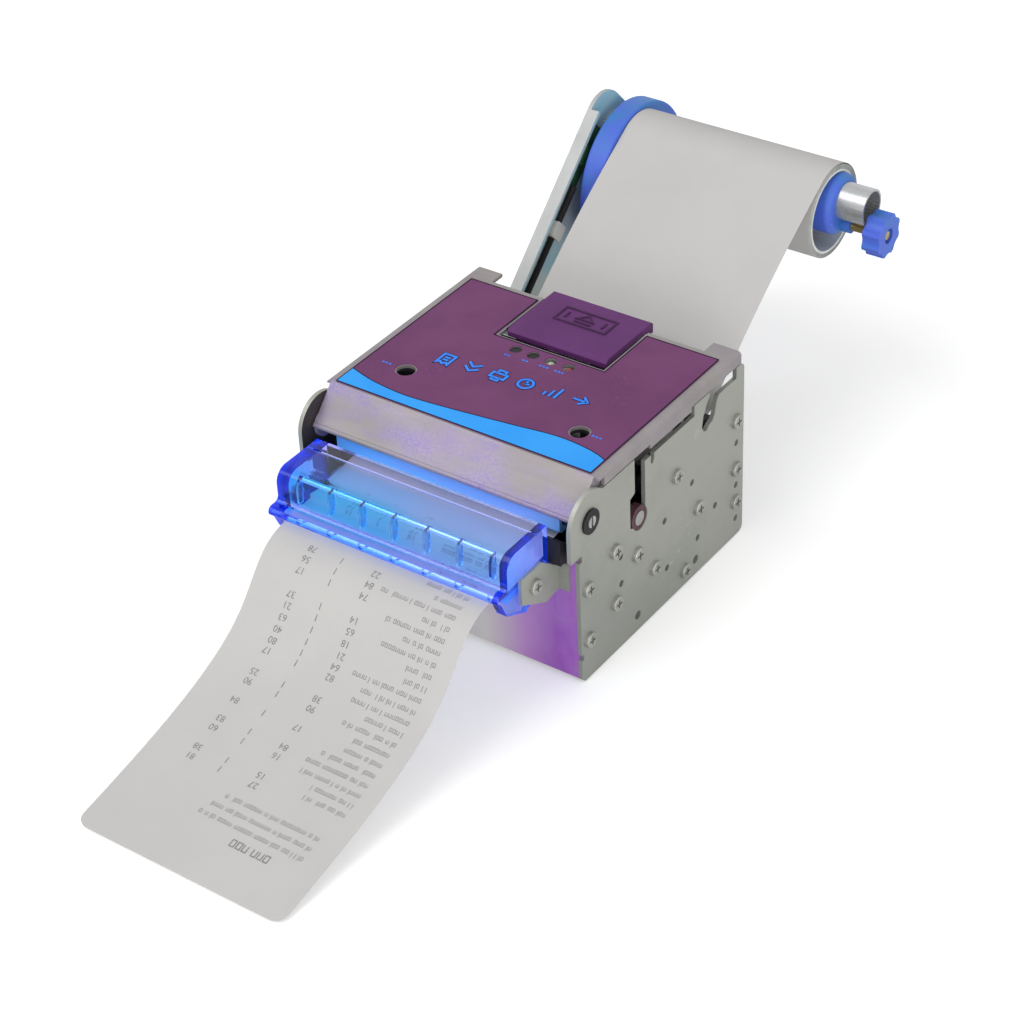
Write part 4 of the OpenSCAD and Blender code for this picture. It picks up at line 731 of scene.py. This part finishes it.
def webRoute(setup):
    inletBack, inletZ = setup["inlet"]
    rollBack = rollY - frontEdge
    radius = roll["outerD"] / 2 + roll["webGap"]

    def onRoll(angle):
        return rollBack + radius * math.cos(angle), rollZ + radius * math.sin(angle)
    reach = (rollBack - inletBack, rollZ - inletZ)
    leave = math.pi + math.atan2(reach[1], reach[0]) - math.acos(radius / math.hypot(*reach))
    # last turn, from behind the roll over its top
    turned = math.radians(setup["wrap"])
    points = [onRoll(leave - turned * (1 - i / setup["wrapSteps"])) for i in range(setup["wrapSteps"])]
    top = onRoll(leave)
    for i in range(setup["freeSteps"]):
        t = i / setup["freeSteps"]
        points.append((top[0] + (inletBack - top[0]) * t,
                       top[1] + (inletZ - top[1]) * t + setup["bulge"] * math.sin(math.pi * t)))
    rise = (setup["pathZ"] - inletZ) / (inletBack - setup["platenBack"] - setup["lead"])
    points += [(d, inletZ + rise * (inletBack - d)) for d in setup["guideStops"]]
    points += [(setup["platenBack"], setup["pathZ"]), (setup["endBack"], setup["pathZ"] - setup["endDrop"])]
    return denseRoute(points, setup["lift"])


webPath, webLengths = webRoute(web)


def makeWeb(setup):
    total = webLengths[-1]
    sheet = flatPaper(setup, total)
    finishPaper(sheet, "webSheet", setup, webPath, webLengths)
    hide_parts("paper_web")


makeWeb(web)
print("paper web stretched, length", round(webLengths[-1], 4))


# the roll as a few loose turns, each a rolled strip with its own edge
def makeRoll(setup):
    inner = setup["coreD"] / 2 + setup["coreGap"]
    step = (setup["outerD"] / 2 - inner) / len(setup["shifts"])
    turns = []
    for k, shift in enumerate(setup["shifts"]):
        clearSelection()
        bpy.ops.mesh.primitive_cylinder_add(
            vertices=setup["sides"], radius=(inner + (k + 0.5) * step) * mm, depth=setup["width"] * mm,
            end_fill_type="NOTHING", location=(shift * mm, rollY * mm, rollZ * mm),
            rotation=(0, math.radians(90), 0))
        turn = bpy.context.object
        bpy.ops.object.transform_apply(location=True, rotation=True, scale=True)
        editWhole(turn, bpy.ops.mesh.subdivide, number_cuts=1)
        thicken(turn, step * setup["turnShare"] * mm)
        turns.append(turn)
    whole = joinPieces(turns)
    edge = whole.modifiers.new("edge", "BEVEL")
    edge.width = setup["edge"] * mm
    edge.segments = 1
    edge.limit_method = "ANGLE"
    applyModifiers(whole)
    smoothByAngle(whole, setup["crease"])
    settle(whole, "rollTurns", "roll", "paperWhite")
    whole.data.materials.append(finishes["paperEdge"])
    for face in whole.data.polygons:
        face.material_index = 1 if abs(face.normal.x) > setup["cutFace"] else 0
    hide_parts("paper_roll")


makeRoll(roll)
print("roll wound")

# sensor cable along the arm and into the rear panel; a stop on the arm is along it, across it and x
cable = dict(slope=42.7, spindleY=132.0, spindleZ=83.4, thickness=2.4, roundness=4, steps=6,
             arm=[(-24.8, 14.2, -51.2), (-33.0, 14.2, -51.2), (-42.0, 14.2, -51.2), (-56.0, 14.2, -51.2),
                  (-70.8, 14.2, -51.2), (-82.8, 13.2, -50.6)],
             last=[(-49.6, 54.5, 31.5), (-47.4, 51.0, 30.4), (-45.6, 48.5, 30.0), (-45.0, 45.0, 30.0)])


def makeCable(setup):
    c = math.cos(math.radians(setup["slope"]))
    s = math.sin(math.radians(setup["slope"]))
    stops = [(x, setup["spindleY"] + u * c - v * s, setup["spindleZ"] + u * s + v * c)
             for u, v, x in setup["arm"]]
    line = smoothLine(stops + setup["last"], setup["steps"])
    data = bpy.data.curves.new("sensorLead", "CURVE")
    data.dimensions = "3D"
    data.bevel_depth = setup["thickness"] / 2 * mm
    data.bevel_resolution = setup["roundness"]
    data.use_fill_caps = True
    spline = data.splines.new("POLY")
    spline.points.add(len(line) - 1)
    for point, at in zip(spline.points, line):
        point.co = (at.x * mm, at.y * mm, at.z * mm, 1)
    lead = bpy.data.objects.new("sensorLead", data)
    bpy.context.scene.collection.objects.link(lead)
    data.materials.append(finishes["rubberBlack"])
    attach(lead, "printer")
    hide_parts("sensor_cable")


makeCable(cable)

# flat shapes printed on the label and raised on the lever
label = dict(top=72.9, halfWidth=49.6, front=12.6, rear=87.8, cutX=21.7, cutFront=62.4, ink=0.06, edge=0.4,
             inset=0.2, edgeLift=0.02)


# a flat band between two lines of (x, distance behind the front edge)
def flatStrip(upper, lower, columns):
    strip = addGrid(1, 1, columns, 1)
    first, last = upper[0][0], upper[-1][0]

    def level(line, x):
        for (x0, d0), (x1, d1) in zip(line, line[1:]):
            if x <= x1:
                t = max(0.0, min(1.0, (x - x0) / (x1 - x0)))
                return d0 + (d1 - d0) * t
        return line[-1][1]
    for v in strip.data.vertices:
        x = first + (v.co.x + 0.5) * (last - first)
        d = level(upper, x) if v.co.y > 0 else level(lower, x)
        v.co = (x * mm, d * mm, 0)
    return strip


# a flat line of even width along its stops, mitred at the corners
def bandAlong(stops, width, closed=False, sharpest=0.4, merge=0.000002):
    count = len(stops)
    spans = count if closed else count - 1
    sides = []
    for i, here in enumerate(stops):
        before = stops[i - 1] if closed or i > 0 else None
        after = stops[(i + 1) % count] if closed or i < count - 1 else None
        ways = []
        for start, end in ((before, here), (here, after)):
            if start is not None and end is not None:
                size = math.hypot(end[0] - start[0], end[1] - start[1])
                ways.append((-(end[1] - start[1]) / size, (end[0] - start[0]) / size))
        n = (sum(w[0] for w in ways), sum(w[1] for w in ways))
        size = math.hypot(*n)
        n = (n[0] / size, n[1] / size)
        reach = width / 2 / max(sharpest, n[0] * ways[0][0] + n[1] * ways[0][1])
        sides.append((n[0] * reach, n[1] * reach))
    strip = addGrid(1, 1, spans, 1)
    for v in strip.data.vertices:
        k = round((v.co.x + 0.5) * spans) % count
        side = 1 if v.co.y > 0 else -1
        v.co = ((stops[k][0] + side * sides[k][0]) * mm, (stops[k][1] + side * sides[k][1]) * mm, 0)
    if closed:
        editWhole(strip, bpy.ops.mesh.remove_doubles, threshold=merge)
    return strip


# thickness and place of a flat drawing at a height above the base
def standOn(piece, height, thickness):
    thicken(piece, thickness * mm, 1.0)
    piece.location = (0, frontEdge * mm, height * mm)
    pick(piece)
    bpy.ops.object.transform_apply(location=True, rotation=False, scale=False)


def printOnLabel(pieces, name, lift, finish):
    whole = joinPieces(pieces)
    standOn(whole, label["top"] + lift, label["ink"])
    settle(whole, name, "lid", finish)


swoosh = dict(upper=[(-49.4, 21.4), (-39.3, 18.7), (-27.6, 17.4), (-17.5, 17.8), (-2.3, 19.5), (14.4, 21.7),
                     (28.9, 23.7), (39.0, 23.3), (45.7, 22.0), (49.3, 20.6)],
              lower=12.75, line=0.36, steps=6, columns=120, lift=0.01, lineLift=0.05)


def makeSwoosh(setup):
    upper = smoothLine(setup["upper"], setup["steps"])
    lower = [(x, setup["lower"]) for x, d in upper]
    printOnLabel([flatStrip(upper, lower, setup["columns"])], "labelSwoosh", setup["lift"], "swooshInk")
    edges = [bandAlong(upper, setup["line"]), bandAlong(lower[::setup["steps"]], setup["line"])]
    printOnLabel(edges, "labelSwooshLine", setup["lineLift"], "darkInkAndShadow")


makeSwoosh(swoosh)


# dark line round the label and its notch
def makeLabelEdge(setup):
    inset = setup["inset"]
    x, c = setup["halfWidth"] - inset, setup["cutX"] + inset
    front, rear, cut = setup["front"] + inset, setup["rear"] - inset, setup["cutFront"] - inset
    stops = [(-x, front), (x, front), (x, rear), (c, rear), (c, cut), (-c, cut), (-c, rear), (-x, rear)]
    printOnLabel([bandAlong(stops, setup["edge"], closed=True)], "labelEdge", setup["edgeLift"], "darkInkAndShadow")


makeLabelEdge(label)

# row of plain symbols across the label, each drawn in a 6 mm square: its lines, and whether each is closed
clock = dict(middle=3, radius=2.6, corners=16)
clockTurns = [k * math.tau / clock["corners"] for k in range(clock["corners"])]
clockFace = [(clock["middle"] + clock["radius"] * math.cos(turn),
              clock["middle"] + clock["radius"] * math.sin(turn)) for turn in clockTurns]
symbols = dict(start=(-29.4, 38.2), end=(21.6, 41.2), line=0.95, lineLift=0.06, rim=1.5, rimLift=0.01)
symbols["drawings"] = [
    [([(0.8, 6), (5.2, 6), (5.2, 0.6), (4.1, 1.5), (3, 0.6), (1.9, 1.5), (0.8, 0.6)], True),
     ([(2, 4.3), (4, 4.3)], False), ([(2, 2.9), (4, 2.9)], False)],
    [([(0.4, 5.6), (3, 3.6), (5.6, 5.6)], False), ([(0.4, 3.0), (3, 1.0), (5.6, 3.0)], False)],
    [([(0.3, 1.6), (5.7, 1.6), (5.7, 4.2), (0.3, 4.2)], True),
     ([(1.6, 4.4), (1.6, 6), (4.4, 6), (4.4, 4.4)], False),
     ([(1.8, 1.4), (1.8, 0.2), (4.2, 0.2), (4.2, 1.4)], False)],
    [(clockFace, True), ([(3, 3), (3, 4.6)], False), ([(2.6, 3), (4.4, 3)], False)],
    [([(0.9, 0.2), (0.9, 2.2)], False), ([(3, 0.2), (3, 4)], False), ([(5.1, 0.2), (5.1, 6)], False)],
    [([(0.3, 3), (5.2, 3)], False), ([(3.2, 5.2), (5.6, 3), (3.2, 0.8)], False)]]


def makeSymbols(setup):
    # a wider dark band under each symbol line, a painted shadow, then the blue lines over it
    for name, width, lift, finish in (("labelSymbolShadows", setup["rim"], setup["rimLift"], "darkInkAndShadow"),
                                      ("labelSymbols", setup["line"], setup["lineLift"], "markInk")):
        bands = []
        last = len(setup["drawings"]) - 1
        for k, drawing in enumerate(setup["drawings"]):
            x0 = setup["start"][0] + (setup["end"][0] - setup["start"][0]) * k / last
            d0 = setup["start"][1] + (setup["end"][1] - setup["start"][1]) * k / last
            for stops, closed in drawing:
                bands.append(bandAlong([(x0 + x, d0 + d) for x, d in stops], width, closed))
        printOnLabel(bands, name, lift, finish)


makeSymbols(symbols)

# short dashes beside the holes: first x, last x, distance behind the front edge
dashes = dict(rows=[(-43.6, -38.8, 29.7), (38.6, 43.2, 29.7), (-12.0, -8.6, 54.0), (-5.0, -2.0, 54.2),
                    (1.6, 6.0, 54.4), (7.6, 12.4, 54.4)],
              long=0.9, gap=0.45, line=0.7, lift=0.02, slack=0.01)


def makeDashes(setup):
    bands = []
    for first, last, d in setup["rows"]:
        x = first
        while x + setup["long"] <= last + setup["slack"]:
            bands.append(bandAlong([(x, d), (x + setup["long"], d)], setup["line"]))
            x += setup["long"] + setup["gap"]
    printOnLabel(bands, "labelDashes", setup["lift"], "markInk")


makeDashes(dashes)

# raised frame with a lift symbol on the release lever, in a darker purple that paints the shade along its
# lines
leverMark = dict(top=73.8, height=0.3, line=0.75,
                 lines=[([(-9.9, 79.9), (10.1, 79.9), (10.1, 88.0), (-9.9, 88.0)], True),
                        ([(-7.2, 82.2), (-7.2, 85.6)], False), ([(7.4, 82.2), (7.4, 85.6)], False),
                        ([(-3.0, 83.6), (3.2, 83.6), (0.1, 86.6)], True),
                        ([(-3.2, 81.8), (3.4, 81.8)], False)])


def makeLeverMark(setup):
    whole = joinPieces([bandAlong(stops, setup["line"], closed) for stops, closed in setup["lines"]])
    standOn(whole, setup["top"], setup["height"])
    settle(whole, "leverMark", "release", "leverRelief")


makeLeverMark(leverMark)
print("label and lever marked")

# print on the receipt, in page coordinates: x to the reader's right, y up the page towards the free end
page = dict(lift=0.075, ink=0.02, first=25.0, pitch=3.87, rows=26, seed=7,
            numbers=[20.6, 24.5, 28.3, 48.2, 52.2, 56.1, 64.0, 67.8, 71.8, 75.8, 79.6, 83.2, 91.0, 94.6,
                     101.9, 109.4, 113.2, 121.1, 124.9],
            size=3.3, right=22.4, middle=11.6, left=-2.6, margin=-33.4, longest=27.0,
            shares=(0.35, 0.5, 0.6, 0.75, 0.85, 1.0), header=[(132.2, 35.0), (136.2, 38.6), (140.2, 40.0)],
            headerIndent=2, title=(144.6, -22.6, 13.0), word=(3, 7), mix=(0, 0, 1, 1, 2), digits=(10, 99),
            curveSteps=3, small=dict(shape=(1.0, 1.4, 0.2), bar=(0.22, 2.0, 0), step=1.35, gap=1.0),
            large=dict(shape=(1.9, 2.8, 0.42), bar=(0.45, 2.9, 0), step=2.3, gap=1.2))


# takes away the faces that are selected
def deleteFaces(piece):
    pick(piece)
    bpy.ops.object.mode_set(mode="EDIT")
    bpy.ops.mesh.select_mode(type="FACE")
    bpy.ops.mesh.delete(type="FACE")
    bpy.ops.object.mode_set(mode="OBJECT")


def makeGlyph(kind, width, height, line, tiny=0.000001):
    glyph = addGrid(width * mm, height * mm, 1, 1)
    shiftMesh(glyph, width / 2 * mm, height / 2 * mm)
    if kind == "bar":
        return glyph
    editWhole(glyph, bpy.ops.mesh.inset, thickness=line * mm, depth=0)
    deleteFaces(glyph)
    if kind == "arch":
        # an open foot turns the ring into an arch
        low = min(v.co.y for v in glyph.data.vertices)
        for face in glyph.data.polygons:
            face.select = sum(glyph.data.vertices[i].co.y < low + tiny for i in face.vertices) == 2
        for edge in glyph.data.edges:
            edge.select = False
        deleteFaces(glyph)
    return glyph


def copyGlyph(glyph, x, y):
    made = glyph.copy()
    made.data = glyph.data.copy()
    bpy.context.scene.collection.objects.link(made)
    shiftMesh(made, x * mm, y * mm)
    return made


def inkOnReceipt(piece, name):
    for v in piece.data.vertices:
        v.co = (-v.co.x, v.co.y, page["lift"] * mm)
    layOnPaper(piece, receiptPath, receiptLengths)
    thicken(piece, page["ink"] * mm, 1.0)
    settle(piece, name, "printer", "printInk")


def makeNumbers(setup):
    dice = random.Random(setup["seed"])
    pieces = []
    for y in setup["numbers"]:
        for x, words in ((setup["right"], str(dice.randint(*setup["digits"]))), (setup["middle"], "1"),
                         (setup["left"], str(dice.randint(*setup["digits"])))):
            clearSelection()
            bpy.ops.object.text_add(location=(0, 0, 0))
            digits = bpy.context.object
            digits.data.body = words
            digits.data.size = setup["size"] * mm
            digits.data.resolution_u = setup["curveSteps"]
            bpy.ops.object.convert(target="MESH")
            digits = bpy.context.object
            shiftMesh(digits, x * mm, y * mm)
            pieces.append(digits)
    inkOnReceipt(joinPieces(pieces), "receiptNumbers")


# rows of small strokes that stand for the printed lines
def makeLines(setup):
    dice = random.Random(setup["seed"] + 1)
    glyphs = {size: [makeGlyph("ring", *setup[size]["shape"]), makeGlyph("arch", *setup[size]["shape"]),
                     makeGlyph("bar", *setup[size]["bar"])] for size in ("small", "large")}
    made = []

    def line(y, start, length, size):
        x = start
        left = dice.randint(*setup["word"])
        while x < start + length:
            made.append(copyGlyph(glyphs[size][dice.choice(setup["mix"])], x, y))
            left -= 1
            x += setup[size]["step"]
            if left == 0:
                x += setup[size]["gap"]
                left = dice.randint(*setup["word"])
    for k in range(setup["rows"]):
        share = dice.choice(setup["shares"])
        line(setup["first"] + k * setup["pitch"], setup["margin"], setup["longest"] * share, "small")
    for y, length in setup["header"]:
        line(y, setup["margin"] + setup["headerIndent"], length, "small")
    line(*setup["title"], "large")
    whole = joinPieces(made)
    for glyph in glyphs["small"] + glyphs["large"]:
        bpy.data.objects.remove(glyph)
    inkOnReceipt(whole, "receiptLines")


makeNumbers(page)
makeLines(page)
print("receipt printed")

# floor, world and lamps
stage = dict(floorSize=6.0, floorZ=-0.0004, floorTone=(0.86, 0.86, 0.86, 1), floorRough=0.9,
             floorGlow=0.34, worldLight=0.55)
lamps = [dict(name="keyLamp", place=(-0.5, -0.9, 1.5), aim=(0, 0.02, 0.04), size=1.2, power=14.0),
         dict(name="fillLamp", place=(1.4, -0.2, 0.9), aim=(0, 0.02, 0.04), size=1.0, power=4.4),
         dict(name="sideLamp", place=(0.9, -0.9, 0.16), aim=(0, -0.05, 0.03), size=0.6, power=5.0)]


# floor that takes shadows and shows white to the camera
def layFloor(setup):
    clearSelection()
    bpy.ops.mesh.primitive_plane_add(size=setup["floorSize"], location=(0, 0, setup["floorZ"]))
    floor = bpy.context.object
    floor.name = "paleFloor"
    material, tree, shader = startMaterial("paleFloor")
    out = tree.nodes["Material Output"]
    setInputs(shader, Base_Color=setup["floorTone"], Roughness=setup["floorRough"])
    ray = addNode(tree, "ShaderNodeLightPath")
    glow = addNode(tree, "ShaderNodeEmission")
    both = addNode(tree, "ShaderNodeAddShader")
    link = tree.links.new
    level = calculate(tree, "MULTIPLY", ray.outputs["Is Camera Ray"], setup["floorGlow"])
    link(level, glow.inputs["Strength"])
    link(shader.outputs["BSDF"], both.inputs[0])
    link(glow.outputs["Emission"], both.inputs[1])
    link(both.outputs[0], out.inputs["Surface"])
    floor.data.materials.append(material)


def addBackground(tree, strength):
    made = addNode(tree, "ShaderNodeBackground")
    setInputs(made, Color=(1, 1, 1, 1), Strength=strength)
    return made.outputs[0]


# soft light on the object, plain white for the camera, gloss and glass
def lightWorld(setup):
    world = bpy.data.worlds.new("softRoom")
    bpy.context.scene.world = world
    world.use_nodes = True
    tree = world.node_tree
    tree.nodes.clear()
    ray = addNode(tree, "ShaderNodeLightPath")
    out = addNode(tree, "ShaderNodeOutputWorld")
    seen = calculate(tree, "MAXIMUM", ray.outputs["Is Camera Ray"], ray.outputs["Is Glossy Ray"])
    blend = addNode(tree, "ShaderNodeMixShader")
    link = tree.links.new
    link(calculate(tree, "MAXIMUM", seen, ray.outputs["Is Transmission Ray"]), blend.inputs["Fac"])
    link(addBackground(tree, setup["worldLight"]), blend.inputs[1])
    link(addBackground(tree, 1), blend.inputs[2])
    link(blend.outputs[0], out.inputs["Surface"])


def hangLamp(setup):
    data = bpy.data.lights.new(setup["name"], "AREA")
    data.energy = setup["power"]
    data.size = setup["size"]
    lamp = bpy.data.objects.new(setup["name"], data)
    bpy.context.scene.collection.objects.link(lamp)
    lamp.location = setup["place"]
    way = Vector(setup["aim"]) - Vector(setup["place"])
    lamp.rotation_euler = way.to_track_quat("-Z", "Y").to_euler()


layFloor(stage)
lightWorld(stage)
for values in lamps:
    hangLamp(values)
print("stage built")
